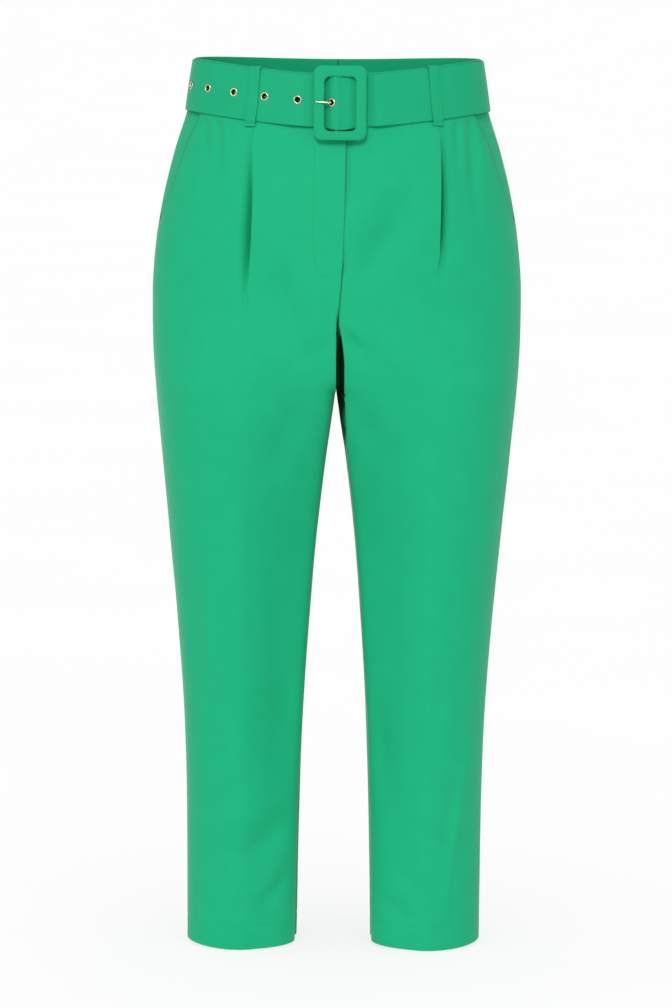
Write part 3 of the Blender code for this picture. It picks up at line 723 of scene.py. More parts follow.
def stitches(name, rows, pitch=STITCH_PITCH, thread=THREAD):
    """Rows of stitches. Each row is a line on the cloth and its normals. A stitch is a
    short thread that bows up from the cloth and goes back in at both ends."""
    place, lift, thick = np.array(STITCH).T
    bend = np.linspace(0, 2 * pi, THREAD_SIDES, endpoint=False)[:, None]
    shapes = []
    for line, normal in rows:
        length = lengths(line)
        middle = np.arange(pitch / 2, length[-1], pitch)
        at = middle[:, None] + place * pitch
        way = np.stack([np.interp(at, length, line[:, k]) for k in range(3)], axis=-1)
        up = np.stack([np.interp(at, length, normal[:, k]) for k in range(3)], axis=-1)
        way = way + up * (thread * lift)[:, None]
        side = np.cross(unit((way[:, -1] - way[:, 0])[:, None]), up)
        ring = np.cos(bend) * side[..., None, :] + np.sin(bend) * up[..., None, :]
        shapes.append(way[..., None, :] + (thread * thick)[:, None, None] * ring)
    shape = np.concatenate(shapes)
    one = grid_faces(len(STITCH), THREAD_SIDES, closed=True)
    cap = np.array(((0, 5, 4, 3), (0, 3, 2, 1)))
    last = (len(STITCH) - 1) * THREAD_SIDES
    caps = np.concatenate([cap, last + np.array(((0, 1, 2, 3), (0, 3, 4, 5)))])
    one = np.concatenate([one, caps])
    points = len(STITCH) * THREAD_SIDES
    faces = (np.arange(len(shape))[:, None, None] * points + one).reshape(-1, 4)
    return new_piece(name, shape, faces, green_thread)


def thread_material():
    """Polyester sewing thread in the cloth's green: twisted, so it catches a little
    more light than the crepe."""
    material, tree, shader = new_material("green_thread")
    place = add_node(tree, "ShaderNodeTexCoord", {}, {}, 3)
    share = noise(tree, place, 0.6 * MM, 2.0)
    colour = tones(tree, share, (0.006, 0.27, 0.12), (0.012, 0.36, 0.17))
    give_surface(tree, shader, colour, 0.45 + share * 0.2, share, 0.1 * MM)
    return material


green_thread = thread_material()


def pleat(side, height, apart):
    """The pleat across its lip. apart is the distance from the lip, towards the side
    seam. A sine carries the cloth back under its own lip and out again; the lip
    stands up by a smooth step, and the hollow beside it dies away exponentially."""
    name = dict(SIDES)[side]
    tall = along(height, PLEAT, PLEAT_COLUMNS, name)
    hollow = along(height, PLEAT, PLEAT_COLUMNS, name + "_hollow")
    near = np.clip(apart / PLEAT_ZONE, -1, 1)
    fold = step(tall + hollow, 1.2 * MM, 3.5 * MM)
    back = PLEAT_OVERHANG * fold * np.sin(pi * near)
    under = step(near, -0.42, 0.42)
    lip = np.exp(np.minimum(apart, 0) / LIP_LENGTH)
    trough = np.exp(-np.maximum(apart - HOLLOW_PLACE, 0) / HOLLOW_LENGTH)
    return -back, tall * (1 - under) * lip - hollow * under * trough


def front_turns(side, height):
    """Where a front panel starts, folds and ends: turns, each edge's as a function of
    the distance in from it."""
    mouth = along(height, MOUTH) * (height >= POCKET_END)
    crease = along(height, CREASE, CREASE_COLUMNS, dict(SIDES)[side])
    crease = turn_at_x(crease, height)
    edge = fly_edge(height) * side
    if side == LEFT:
        edge = edge - FLY_LAP * step(height, FLY_END, FLY_END + FLY_FADE)

    def start(inwards):
        return turn_at_reach(FRONT, mouth + SEAM_GAP / 2 + inwards, height)

    def end(inwards):
        seam = pi - turn_at_reach(FRONT, SEAM_GAP / 2 + inwards, height)
        return np.minimum(turn_at_x(edge + SEAM_GAP / 2 + inwards, height), seam)

    return start, crease, end


def front_surface(side, turn, height, depth=0.0, row_depth=0.0):
    """Points of a front panel, their normals, and the distances from its two edges."""
    start, crease, end = front_turns(side, height)
    outer = (turn - start(0.0)) * arc_length(FRONT, start(0.0), height)
    inner = (end(0.0) - turn) * arc_length(FRONT, end(0.0), height)
    length = arc_length(FRONT, crease, height)
    shift, raised = pleat(side, height, (crease - turn) * length)
    turn = turn - shift / length
    level = height - waist_drop(FRONT, turn, height)
    raised = raised + hem_mark(height, row_depth)
    raised = raised - inseam_tuck(side, height, inner, 9 * MM)
    if side == LEFT:
        x = oval_place(FRONT, turn, level)[0] - fly_edge(level)
        inset = FLY_INSET * step(level, FLY_END - FLY_FADE, FLY_END)
        raised = raised - inset * (1 - step(x, 1.5 * MM, 9 * MM))
    held = step(np.minimum(outer, inner), 0, SEAM_HOLD) * below_belt(height)
    points = cloth_points(side, FRONT, turn, level, raised, held, row_depth + depth)
    normal_x, normal_y = oval_place(FRONT, turn, level)[2:]
    normal = np.stack([side * normal_x, normal_y, 0 * normal_x], axis=-1)
    return points, normal, outer, inner


# Cloth that is drawn in this deep gets full painted shade, at the fork and beside a
# pleat, and how dark full painted shade is.
FORK_SHADE = 14 * MM
PLEAT_SHADE = 17 * MM
DARKEST = 0.95


def crowded(count, power):
    """Shares between 0 and 1 that crowd towards 1, without these two."""
    return 1 - (1 - np.linspace(0, 1, count)[1:-1]) ** power


def panel_columns(height, start, end, middle, zoned, before, after):
    """Turns and depths across a panel, and the middle's column. Both edges are pressed
    under. zoned are turns close to the middle; before and after are the shares at
    which more lie between them and the two edges."""
    turned, deep = pressed_edge(allowance(height))
    clipped, radius = centre_edge(height)
    sewn, sewn_deep = pressed_edge(clipped, radius)
    first, last = start(FOLD_RADIUS), end(radius)
    zone = middle - zoned[:, :1]
    outer = first + (middle - zone - first) * before
    inner = middle + zone + (last - middle - zone) * after
    face = np.concatenate([outer, zoned, inner], axis=1)
    turn = np.concatenate([start(turned), face, end(sewn[:, ::-1])], axis=1)
    depth = np.concatenate([deep, 0 * face, sewn_deep[:, ::-1]], axis=1)
    return turn, depth, turned.shape[1] + outer.shape[1] + zoned.shape[1] // 2


def crepe_shell(name, points, flip, column, seam, stitch=FAR, **marks):
    """A piece of the crepe from its grid of points. column is the one that hangs
    straight; seam and stitch are distances from the nearest seam and stitches."""
    stitch = np.broadcast_to(np.clip(stitch, -FAR, FAR), points.shape[:2])
    marks = {"seam": np.clip(seam, -FAR, FAR), "stitch": stitch, **marks}
    faces = grid_faces(*points.shape[:2])
    faces = faces[:, ::-1] if flip else faces
    piece = new_piece(name, points, faces, crepe, flat_places(points, column), marks)
    give_wall(piece, CREPE_WALL)
    return piece


def front_panel(side, name):
    """A front panel as a grid: rows down it, columns from the pocket mouth or side seam
    over the pleat to the fly, the centre seam or the inseam."""
    height, row_depth = panel_rows()
    start, crease, end = front_turns(side, height)
    length = arc_length(FRONT, crease, height)
    zoned = crease - PLEAT_ZONE / length * np.linspace(1, -1, 29)
    turn, depth, column = panel_columns(
        height, start, end, crease, zoned, crowded(34, 1.3), crowded(42, 1.7))
    points, _, outer, inner = front_surface(side, turn, height, depth, row_depth)
    line = outer - POCKET_STITCH + 3 * FAR * step(-height, 182 * MM, 192 * MM)
    if side == RIGHT:
        beside = signed_distance(points[..., 0], points[..., 2], np.array(J_LINE) * MM)
        line = np.minimum(line, -beside)
    # Along the pocket mouth the distance is shortened, which widens the painted shade and
    # the puckers there.
    seam = np.minimum(outer * (1 - 0.65 * (height >= POCKET_END)), inner)
    # The hollow mark is painted shade: where the fork draws the cloth in, and on the left
    # panel just beside the pleat's lip.
    drawn = fork_crease(side, FRONT, oval_place(FRONT, turn, height)[0], height)[0]
    apart = (crease - turn) * length - HOLLOW_PLACE
    shade = along(height, PLEAT, PLEAT_COLUMNS, "left_hollow") / PLEAT_SHADE
    shade = shade * (side == LEFT) * np.exp(-((apart / (2.8 * MM)) ** 2))
    hollow = np.clip(drawn / FORK_SHADE + shade, 0, DARKEST)
    return crepe_shell(f"front_panel_{name}", points, side == RIGHT, column, seam, line,
                       hollow=hollow)


for side, name in SIDES:
    panel = front_panel(side, name)
    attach(panel, "root")
    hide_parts(f"front_{name}")

# -----------------------------------------------------------------------------
# Back panels. Two lengths of the crepe with one dart each below the waist. They are
# sewn to the fronts at the side seams and inseams and to each other at the centre.
# -----------------------------------------------------------------------------
# Heights, and how far the dart is from the centre plane.
DART = ((-47, 76.0), (-150, 72.0))
DART_ZONE = 9 * MM
DART_DEPTH = 0.8 * MM
DART_END = (-152 * MM, -120 * MM)

FOLDS[RIGHT, BACK] = (
    (20, -352, 132, -318, 2.4, 11, -10),
    (34, -392, 110, -372, 1.3, 9, -8),
    (52, -585, 128, -560, 2.0, 11, -8),
    (44, -640, 116, -612, 1.4, 9, -6),
    (120, -60, 128, -150, 0.8, 7, 0),
    (58, -790, 100, -842, 1.4, 9, 4),
)
FOLDS[LEFT, BACK] = (
    (16, -346, 126, -322, 2.2, 12, -9),
    (48, -398, 120, -366, 1.5, 9, -6),
    (50, -575, 122, -566, 2.2, 10, -9),
    (58, -628, 126, -604, 1.2, 9, -6),
    (116, -60, 122, -130, 0.8, 7, 0),
    (62, -856, 116, -812, 1.3, 9, 4),
)


def back_panel(side, name):
    """A back panel as a grid: rows down it, columns from the side seam round the seat
    to the centre seam or the inseam. The dart is a narrow groove that fades out."""
    height, row_depth = panel_rows()

    def start(inwards):
        return turn_at_reach(BACK, SEAM_GAP / 2 + inwards, height)

    def end(inwards):
        centre = turn_at_x(SEAM_GAP / 2 + inwards, height)
        return np.minimum(centre, pi - start(inwards))

    dart = turn_at_x(along(height, DART), height)
    length = arc_length(BACK, dart, height)
    spread = np.linspace(-1, 1, 19)
    zoned = dart + DART_ZONE / length * np.sign(spread) * np.abs(spread) ** 1.6
    turn, depth, column = panel_columns(
        height, start, end, dart, zoned, crowded(36, 1.0), crowded(42, 1.7))
    outer = (turn - start(0.0)) * arc_length(BACK, start(0.0), height)
    inner = (end(0.0) - turn) * arc_length(BACK, end(0.0), height)
    seam = np.minimum(outer, inner)
    level = height - waist_drop(BACK, turn, height)
    apart = (turn - dart) * length
    fades = step(height, *DART_END)
    ridge = 0.4 * np.exp(-((apart / (5 * MM)) ** 2))
    groove = np.exp(-((apart / (1.1 * MM)) ** 2)) - ridge
    raised = hem_mark(height, row_depth) - DART_DEPTH * fades * groove
    raised = raised - inseam_tuck(side, height, inner, 3 * MM)
    held = step(seam, 0, SEAM_HOLD) * below_belt(height)
    points = cloth_points(side, BACK, turn, level, raised, held, row_depth + depth)
    seam = np.minimum(seam, np.abs(apart) + 1.5 * FAR * (1 - fades))
    return crepe_shell(f"back_panel_{name}", points, side == LEFT, column, seam)


for side, name in SIDES:
    panel = back_panel(side, name)
    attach(panel, "root")
    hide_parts(f"back_{name}")

# -----------------------------------------------------------------------------
# Pocket facings. A piece of the crepe behind each slant pocket's mouth, sewn in the
# side seam and the waist seam and running on under the front panel.
# -----------------------------------------------------------------------------
FACING_INSET = 3.4 * MM
FACING_LAP = 9 * MM
FACING_TURN = 8 * MM


def pocket_facing(side, name):
    """A facing as a grid from the side seam to its edge behind the front panel. It
    sinks behind the panel by a smooth step across, and wholly at the pocket's end."""
    height = np.linspace(BAND_SEAM, POCKET_END, 60)[:, None]
    mouth = turn_at_reach(FRONT, along(height, MOUTH), height)
    turned, deep = pressed_edge(FACING_TURN + 0 * height)

    def start(inwards):
        return turn_at_reach(FRONT, SEAM_GAP / 2 + inwards, height)

    end = mouth + FACING_LAP / arc_length(FRONT, mouth, height)
    first = start(FOLD_RADIUS)
    face = first + (end - first) * np.linspace(0, 1, 30)[1:]
    turn = np.concatenate([start(turned), face], axis=1)
    depth = np.concatenate([deep, 0 * face], axis=1)
    across = np.clip(turn / np.maximum(mouth, start(0.0)), 0, 1)
    sunk = np.maximum(step(across, 0, 0.8), step(-height, 156 * MM, 174 * MM))
    level = height - waist_drop(FRONT, turn, height)
    points = cloth_points(side, FRONT, turn, level, -FACING_INSET * sunk, 0, depth)
    seam = (turn - start(0.0)) * arc_length(FRONT, start(0.0), height)
    beside = np.abs(turn - mouth) * arc_length(FRONT, mouth, height)
    # Near the pocket mouth the distance is shortened, so painted shade lines the mouth on
    # the facing too.
    seam = np.minimum(seam, 0.35 * beside)
    return crepe_shell(f"pocket_facing_cloth_{name}", points, side == RIGHT,
                       turned.shape[1], seam)


for side, name in SIDES:
    facing = pocket_facing(side, name)
    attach(facing, "root")
    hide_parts(f"pocket_facing_{name}")

# -----------------------------------------------------------------------------
# Waistband. Four strips of the crepe, each folded along its top edge with a stiff
# layer inside, joined at the side seams and the centre back and closed at the fly.
# -----------------------------------------------------------------------------
BAND_ROLL = 0.95 * MM
# The ends are rounded over BAND_END, where the layers close up by the share BAND_CLOSE.
BAND_END = 0.7 * MM
BAND_CLOSE = 0.7
BAND_ROWS = 15
BAND_COLUMNS = 59
END_COLUMNS = 5


def waistband(side, face, name):
    """A quarter of the band as a grid: the outer layer's rows go up, round a half
    circle at the top and down the inner layer. At both ends the layers draw together
    by a quarter circle."""
    centre = fly_edge(np.array(0.0)) * side if face == FRONT else 0.0
    top = -BAND_ROLL
    bend = np.linspace(0, pi, 9)
    up = np.linspace(BAND_SEAM + SEAM_GAP, top, BAND_ROWS + 1)[:-1]
    height = np.concatenate([up, top + BAND_ROLL * np.sin(bend), up[::-1]])[:, None]
    under = BAND_ROLL * (1 - np.cos(bend))
    layer = [np.zeros(BAND_ROWS), under, np.full(BAND_ROWS, 2 * BAND_ROLL)]
    layer = np.concatenate(layer)[:, None]
    start = turn_at_reach(face, SEAM_GAP / 2, height)
    end = turn_at_x(centre + SEAM_GAP / 2, height)
    round_end = np.linspace(0, pi / 2, END_COLUMNS)
    near = BAND_END * (1 - np.cos(round_end))
    first = near / arc_length(face, start, height)
    last = near / arc_length(face, end, height)
    middle = np.linspace(0, 1, BAND_COLUMNS + 2)[1:-1]
    start_in, end_in = start + first[:, -1:], end - last[:, -1:]
    face_turn = start_in + (end_in - start_in) * middle
    turn = np.concatenate([start + first, face_turn, end - last[:, ::-1]], axis=1)
    close = BAND_CLOSE * (1 - np.sin(round_end))
    close = np.concatenate([close, np.zeros(BAND_COLUMNS), close[::-1]])
    depth = layer + (BAND_ROLL - layer) * close
    level = height - waist_drop(face, turn, BAND_SEAM)
    x, y, normal_x, normal_y = oval_place(face, turn, level)
    points = np.stack([side * (x - normal_x * depth), y - normal_y * depth, level], -1)
    inner = (turn - start) * arc_length(face, start, height)
    outer = (end - turn) * arc_length(face, end, height)
    seam = np.maximum(np.minimum(inner, outer), 0)
    return crepe_shell(name, points, side != face, BAND_COLUMNS // 2 + 1, seam)


for side, name in SIDES:
    for face, place in ((FRONT, "front"), (BACK, "back")):
        band = waistband(side, face, f"band_{place}_{name}")
        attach(band, "root")
        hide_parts(f"waistband_{place}_{name}")

# -----------------------------------------------------------------------------
# Belt. One strap of two layers of the crepe over a stiff core. An end is turned
# round the buckle's bar; the tongue comes back through the buckle and over the bar.
# -----------------------------------------------------------------------------
BELT_TOP = -1.6 * MM
BELT_WIDTH = 52 * MM
BELT_WALL = 1.8 * MM
BELT_LINE = 1.5 * MM
BELT_LAYER = 2.1 * MM
BUCKLE_DIP = 1.3 * MM
# Inside the buckle the lower edge bulges by this share of the width.
BUCKLE_BULGE = 0.035
BAR_X = -1.5 * MM
BAR_OUT = 4 * MM
WRAP_REACH = 2.5 * MM
TONGUE_REACH = 4.8 * MM
TONGUE_SLOPE = radians(35)
EYELET_CUT = 3.5 * MM
EYELET_SPACING = 35.4 * MM
EYELET_X = -5.4 * MM
EYELETS = 6
BELT_DROP = 5.6 * MM
BELT_CROWN = 0.25 * MM
BELT_SLACK = 2.4 * MM
# The section's points across each face and round each edge, and the x where the strap
# leaves the buckle for the body and where it comes back.
FACE_STEPS = 49
EDGE_STEPS = 3
STRAP_LEAVES = 37 * MM
STRAP_RETURNS = -27 * MM
# Places across the buckle: x, the layer, and a little more distance out.
TURNED_END = (
    (2, 2, 0.15),
    (8.2, 2, 0),
    (9.4, 2, -0.3),
    (12.4, 1, 0.2),
    (14.6, 1, 0),
    (30, 1, 0),
)
TONGUE_END = (
    (4.5, 3, 1.0),
    (8, 3, 0.3),
    (12, 3, -0.4),
    (15, 3, -1.2),
    (18, 2, 0.4),
    (21, 2, 0.1),
    (25.5, 2, 0.05),
)


def hoop_point(angle, height, out):
    """A point round the whole waist: angle 0 at the left side, pi / 2 at the front."""
    places = [oval_place(face, angle, height) for face in (FRONT, BACK)]
    x, y, normal_x, normal_y = np.where(np.sin(angle) >= 0, *map(np.array, places))
    height = np.broadcast_to(height, x.shape)
    return np.stack([x + out * normal_x, y + out * normal_y, height], axis=-1)


def belt_point(angle, share, out):
    """A point of the belt, straight from its top edge, share 0, to its lower one, 1."""
    drop = np.where(np.sin(angle) > 0, WAIST_DROP[FRONT], BELT_DROP)
    drop = drop * np.abs(np.sin(angle)) ** 3
    near_buckle = np.where(np.sin(angle) > 0, np.exp(-((np.cos(angle) / 0.17) ** 2)), 0)
    top = BELT_TOP - drop - BUCKLE_DIP * near_buckle
    upper = hoop_point(angle, top, out)
    lower = hoop_point(angle, top - BELT_WIDTH, out)
    return upper + (lower - upper) * np.asarray(share)[..., None]


def front_angle(x):
    """The angle of the point x from the centre plane on the front of the belt."""
    return np.arccos(x / body(BELT_TOP - BELT_WIDTH / 2, "outer"))


def before_belt(x, height, out):
    """The point at x and height that lies out from the waistband's front."""
    angle = front_angle(x)
    upper = belt_point(angle, 0, out)
    lower = belt_point(angle, 1, out)
    share = (upper[..., 2] - height) / (upper[..., 2] - lower[..., 2])
    y = upper[..., 1] + (lower[..., 1] - upper[..., 1]) * share
    return np.stack([x, y, height], axis=-1)


def tongue_rise():
    """The straight stretch where the tongue climbs to the bar: two x, out pairs."""
    top_x = BAR_X - TONGUE_REACH * sin(TONGUE_SLOPE)
    top_out = BAR_OUT + TONGUE_REACH * cos(TONGUE_SLOPE)
    climb = top_out - BELT_LINE - 0.25 * MM
    run = climb * cos(TONGUE_SLOPE) / sin(TONGUE_SLOPE)
    return (top_x - run, top_out - climb), (top_x, top_out)


def round_bar(reach, first, last, steps):
    """Pairs of x and out on an arc round the bar, between two angles in degrees."""
    bend = np.radians(np.linspace(first, last, steps))
    return [(BAR_X + reach * cos(a), BAR_OUT + reach * sin(a)) for a in bend]


def layered(table):
    """Pairs of x and out from a table of places in the buckle."""
    return [(x * MM, BELT_LINE + (layer - 1) * BELT_LAYER + over * MM)
            for x, layer, over in table]


def slack(angle):
    """How far the strap stands off the waist between the buckle and each front loop:
    a bell curve."""
    x = np.abs(np.cos(angle)) * 155 * MM
    bell = np.exp(-(((x - 41 * MM) / (19 * MM)) ** 2))
    return BELT_SLACK * bell * (np.sin(angle) > 0)


def strap_route():
    """The strap's middle line: arrays of the angle and the distance out. It starts as
    a short end behind the bar, wraps the bar, goes round the body and comes back as
    the tongue: up over the wrapped bar and down behind the buckle's left side."""
    start = [(8.0 * MM, BELT_LINE)] + round_bar(WRAP_REACH, -90, -320, 10)
    start += layered(TURNED_END)
    low = tongue_rise()[0]
    end = [(low[0] - 1.5 * MM, BELT_LINE), low]
    end += round_bar(TONGUE_REACH, 125, 62, 5) + layered(TONGUE_END)
    around = front_angle(STRAP_LEAVES), front_angle(STRAP_RETURNS) - 2 * pi
    around = np.linspace(*around, 90)
    angles = [front_angle(x) for x, _ in start] + list(around)
    angles += [front_angle(x) - 2 * pi for x, _ in end]
    outs = [out for _, out in start] + list(BELT_LINE + slack(around))
    outs += [out for _, out in end]
    return np.array(angles), np.array(outs)


def eyelet_places():
    """The middle of each eyelet and the belt's outward direction there."""
    low, high = tongue_rise()
    share = (EYELET_X - low[0]) / (high[0] - low[0])
    out = low[1] + (high[1] - low[1]) * share
    angle = front_angle(EYELET_X)
    ends = [belt_point(front_angle(x), 0.5, far) for x, far in (low, high)]
    down = belt_point(angle, 1, out) - belt_point(angle, 0, out)
    places = [(belt_point(angle, 0.5, out), np.cross(ends[0] - ends[1], down))]
    fine = np.linspace(angle, pi + 0.6, 1500)
    stands = BELT_LINE + slack(fine)
    line = belt_point(fine, 0.5, stands)
    length = lengths(line)[1:]
    for number in range(1, EYELETS):
        row = int(np.searchsorted(length, number * EYELET_SPACING))
        top = belt_point(fine[row], 0, stands[row])
        down = belt_point(fine[row], 1, stands[row]) - top
        places.append((line[row], np.cross(line[row + 9] - line[row - 9], down)))
    return [(middle, unit(out)) for middle, out in places]


def round_profile(width, wall, face_steps, edge_steps):
    """A flat strip's section with half-round edges, closed, as pairs of the distance
    from its upper edge and the distance out. The halves before and after mirror."""
    half = wall / 2
    bend = (np.arange(edge_steps) + 0.5) / edge_steps * pi / 2
    face = np.linspace(half, width - half, face_steps)
    edge = half * (1 - np.cos(bend))
    down = np.concatenate([edge, face, width - edge[::-1]])
    ends = half * np.sin(bend)
    out = np.concatenate([ends, np.full(face_steps, half), ends[::-1]])
    return np.concatenate([down, down[::-1]]), np.concatenate([out, -out[::-1]])


def end_caps(count, rings):
    """Faces that close the first and last ring of a tube, each ring mirrored."""
    row = np.arange(count // 2 - 1)
    cap = np.stack([row, row + 1, count - 2 - row, count - 1 - row], axis=-1)
    return np.concatenate([cap, cap[:, ::-1] + (rings - 1) * count])


def belt_strap():
    """The strap as a tube of flat sections along its eased route, with round holes."""
    angles, outs = strap_route()
    edges = [belt_point(angles, share, outs) for share in (0, 1)]
    route = eased(np.concatenate(edges, axis=1), 1.0 * MM * 2**0.5)
    upper, lower = route[:, None, :3], route[:, None, 3:]
    ahead = np.gradient((upper + lower) / 2, axis=0)
    down, out = round_profile(BELT_WIDTH, BELT_WALL, FACE_STEPS, EDGE_STEPS)
    normal = unit(np.cross(lower - upper, ahead))
    crown = BELT_CROWN * np.sin(pi * np.clip(down / BELT_WIDTH, 0, 1)) * np.sign(out)
    bulge = np.exp(-(((upper[..., 0] - 3 * MM) / (11 * MM)) ** 2))
    bulge = BUCKLE_BULGE * (bulge * (upper[..., 1] < 0))
    low = down / BELT_WIDTH + bulge * (down / BELT_WIDTH) ** 2
    points = upper + (lower - upper) * low[..., None]
    points = points + normal * (out + crown)[:, None]
    rows, columns = points.shape[:2]
    faces = grid_faces(rows, columns, closed=True)
    kept = np.ones((rows - 1, columns), dtype=bool)
    half = columns // 2 - 1
    middle = (points[:-1, :half] + points[1:, 1 : half + 1]) / 2
    for place, outwards in eyelet_places():
        off = middle - place
        level = off @ outwards
        near = np.linalg.norm(off - level[..., None] * outwards, axis=-1) < EYELET_CUT
        kept[:, :half] &= ~(near & (np.abs(level) < BELT_WALL))
    kept[:, half + 1 : -1] = kept[:, half - 1 :: -1]
    caps = end_caps(columns, rows)
    walls = hole_walls(kept, columns)
    round_it = np.linspace(0, 2 * (BELT_WIDTH + BELT_WALL), columns)
    length = lengths(points[:, 0])[:, None]
    flat = np.stack(np.broadcast_arrays(length, round_it), axis=-1)
    faces = np.concatenate([faces[kept.ravel()], caps, walls])[:, ::-1]
    return new_piece("belt", points, faces, plain_crepe, flat)


def hole_walls(kept, columns):
    """Faces between the front and back face of a strip, round each hole in both.
    Column j of the section mirrors column columns - 1 - j."""
    number = np.arange((kept.shape[0] + 1) * columns).reshape(-1, columns)
    walls = []
    front = kept[:, : columns // 2 - 1]
    for row, column in np.argwhere(front[:, 1:] != front[:, :-1]):
        a, b = number[row, column + 1], number[row + 1, column + 1]
        back = columns - 2 - column
        c, d = number[row + 1, back], number[row, back]
        walls.append((a, b, c, d) if front[row, column] else (d, c, b, a))
    for row, column in np.argwhere(front[1:] != front[:-1]):
        a, b = number[row + 1, column], number[row + 1, column + 1]
        back = columns - 1 - column
        c, d = number[row + 1, back - 1], number[row + 1, back]
        walls.append((d, c, b, a) if front[row, column] else (a, b, c, d))
    return np.array(walls)


belt = belt_strap()
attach(belt, "root")
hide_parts("belt_strap")

# -----------------------------------------------------------------------------
# Belt loops. Narrow folded strips of the crepe with a row of stitches near each
# edge. The top end is sewn at the band's top edge and the other end below the belt.
# -----------------------------------------------------------------------------
LOOP_WIDTH = 11 * MM
LOOP_WALL = 1 * MM
BELT_MIDDLE = -30 * MM
BACK_LOOP_DROP = 1.3 * MM
LOOP_STITCH = 1.7 * MM
LOOP_PITCH = 2.6 * MM
LOOP_THREAD = 0.17 * MM
# The loop's middle line: out from the band, the belt's edge it is measured from
# (0 upper, 1 lower), and the height over that edge.
LOOP_PROFILE = (
    (0.9, 0, 2.2),
    (2.1, 0, 2.5),
    (3.0, 0, 1.5),
    (3.7, 0, 0.2),
    (3.8, 0, -6.0),
    (3.8, 1, 6.0),
    (3.7, 1, 0.4),
    (2.9, 1, -1.2),
    (2.0, 1, -2.9),
    (1.8, 1, -5.5),
)
LOOPS = (
    ("front_right", FRONT, -84.2),
    ("front_left", FRONT, 97.0),
    ("back_right", BACK, -98),
    ("back_left", BACK, 98),
    ("back_centre", BACK, 0),
)


def loop_surface(face, x, across, beyond, profile):
    """Points of a loop at a distance across and beyond its middle line, and the
    directions out of it. It keeps its turn, so it leans as the body tapers."""
    out, height = profile[:, 0], profile[:, 1]
    ahead = unit(np.gradient(profile, axis=0))
    out = out[:, None] - beyond * ahead[:, None, 1]
    height = height[:, None] + beyond * ahead[:, None, 0]
    middle = turn_at_x(abs(x) * MM, BELT_MIDDLE)
    turn = middle - across / arc_length(face, middle, BELT_MIDDLE)
    x_at, y_at, normal_x, normal_y = oval_place(face, turn, height)
    side = -1 if x < 0 else 1
    points = np.stack([side * (x_at + out * normal_x), y_at + out * normal_y, height],
                      axis=-1)
    lift = np.broadcast_arrays(-ahead[:, None, 1], normal_x)[0]
    normal = np.stack([side * lift * normal_x, lift * normal_y,
                       np.broadcast_to(ahead[:, None, 0], normal_x.shape)], axis=-1)
    return points, normal


def belt_loop(name, face, x):
    """A loop as a tube of flat sections, and its two rows of stitches."""
    angle = np.arccos(x * MM / body(BELT_MIDDLE, "outer")) * -face
    edges = [float(belt_point(angle, share, 0)[2]) for share in (0, 1)]
    edges[0] -= BACK_LOOP_DROP * (face == BACK)
    places = [(out * MM, edges[edge] + past * MM) for out, edge, past in LOOP_PROFILE]
    profile = eased(places, 0.7 * MM)
    down, out = round_profile(LOOP_WIDTH, LOOP_WALL, 11, EDGE_STEPS)
    across = down - LOOP_WIDTH / 2
    ridge = np.cos(across / (0.75 * MM)) * np.exp(-((across / (4 * MM)) ** 2))
    ridge = 0.12 * MM * ridge
    points, _ = loop_surface(face, x, across, out + ridge * (out > 0), profile)
    rows, columns = points.shape[:2]
    faces = grid_faces(rows, columns, closed=True)
    faces = np.concatenate([faces, end_caps(columns, rows)])
    faces = faces[:, ::-1] if (face == FRONT) == (x < 0) else faces
    round_it = np.linspace(0, 2 * (LOOP_WIDTH + LOOP_WALL), columns)
    length = lengths(profile)[:, None]
    flat = np.stack(np.broadcast_arrays(round_it, length), axis=-1)
    loop = new_piece(f"loop_{name}", points, faces, plain_crepe, flat)
    rows = []
    for edge in (-1, 1):
        at = np.array([edge * (LOOP_WIDTH / 2 - LOOP_STITCH)])
        line, normal = loop_surface(face, x, at, np.array([LOOP_WALL / 2]), profile)
        rows.append((line[8:-2, 0], normal[8:-2, 0]))
    return loop, stitches(f"loop_stitches_{name}", rows, LOOP_PITCH, LOOP_THREAD)


for name, face, x in LOOPS:
    loop, sewn = belt_loop(name, face, x)
    for piece in (loop, sewn):
        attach(piece, "root")
    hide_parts(f"belt_loop_{name}")
    band = {"back_centre": "back_right"}.get(name, name)

# -----------------------------------------------------------------------------
# Buckle frame. A stiff ring with the crepe drawn tightly round it and glued behind.
# Its middle bar lies behind the short sides.
# -----------------------------------------------------------------------------
BUCKLE_X = 2.4 * MM
BUCKLE_Z = -41 * MM
BUCKLE_SIZE = (53.4 * MM, 75 * MM, 8 * MM)
BUCKLE_OPENING = (32.0 * MM, 54.5 * MM, 5.5 * MM)
BUCKLE_BACK = 5.6 * MM
BUCKLE_RISE = 4.8 * MM
BUCKLE_LOWER_SIDE = 1.0 * MM
# The frame's section is a rounded box: a circle whose cosine and sine have this power.
SECTION_POWER = 0.62
SECTION_STEPS = 28


def rounded_rectangle(width, height, radius):
    """A rectangle's outline with round corners, as points of x and z. Each side and
    corner has as many points in any size, so that two outlines pair up."""
    points = []
    for corner, (right, up) in enumerate(((1, 1), (-1, 1), (-1, -1), (1, -1))):
        bend = pi / 2 * (corner + np.linspace(0, 1, 13))
        x = right * (width / 2 - radius) + radius * np.cos(bend)
        z = up * (height / 2 - radius) + radius * np.sin(bend)
        points.append(np.stack([x, z], axis=-1))
        share = np.linspace(1, -1, 16)[1:-1, None]
        if right == up:
            side = (up * share * (width / 2 - radius), up * height / 2 + 0 * share)
        else:
            side = (right * width / 2 + 0 * share, up * share * (height / 2 - radius))
        points.append(np.concatenate(side, axis=-1))
    return np.concatenate(points)


def all_round(count):
    """Angles all the way round, half a step off the axes."""
    return (np.arange(count) + 0.5) * 2 * pi / count


def squared(wave):
    return np.sign(wave) * np.abs(wave) ** SECTION_POWER


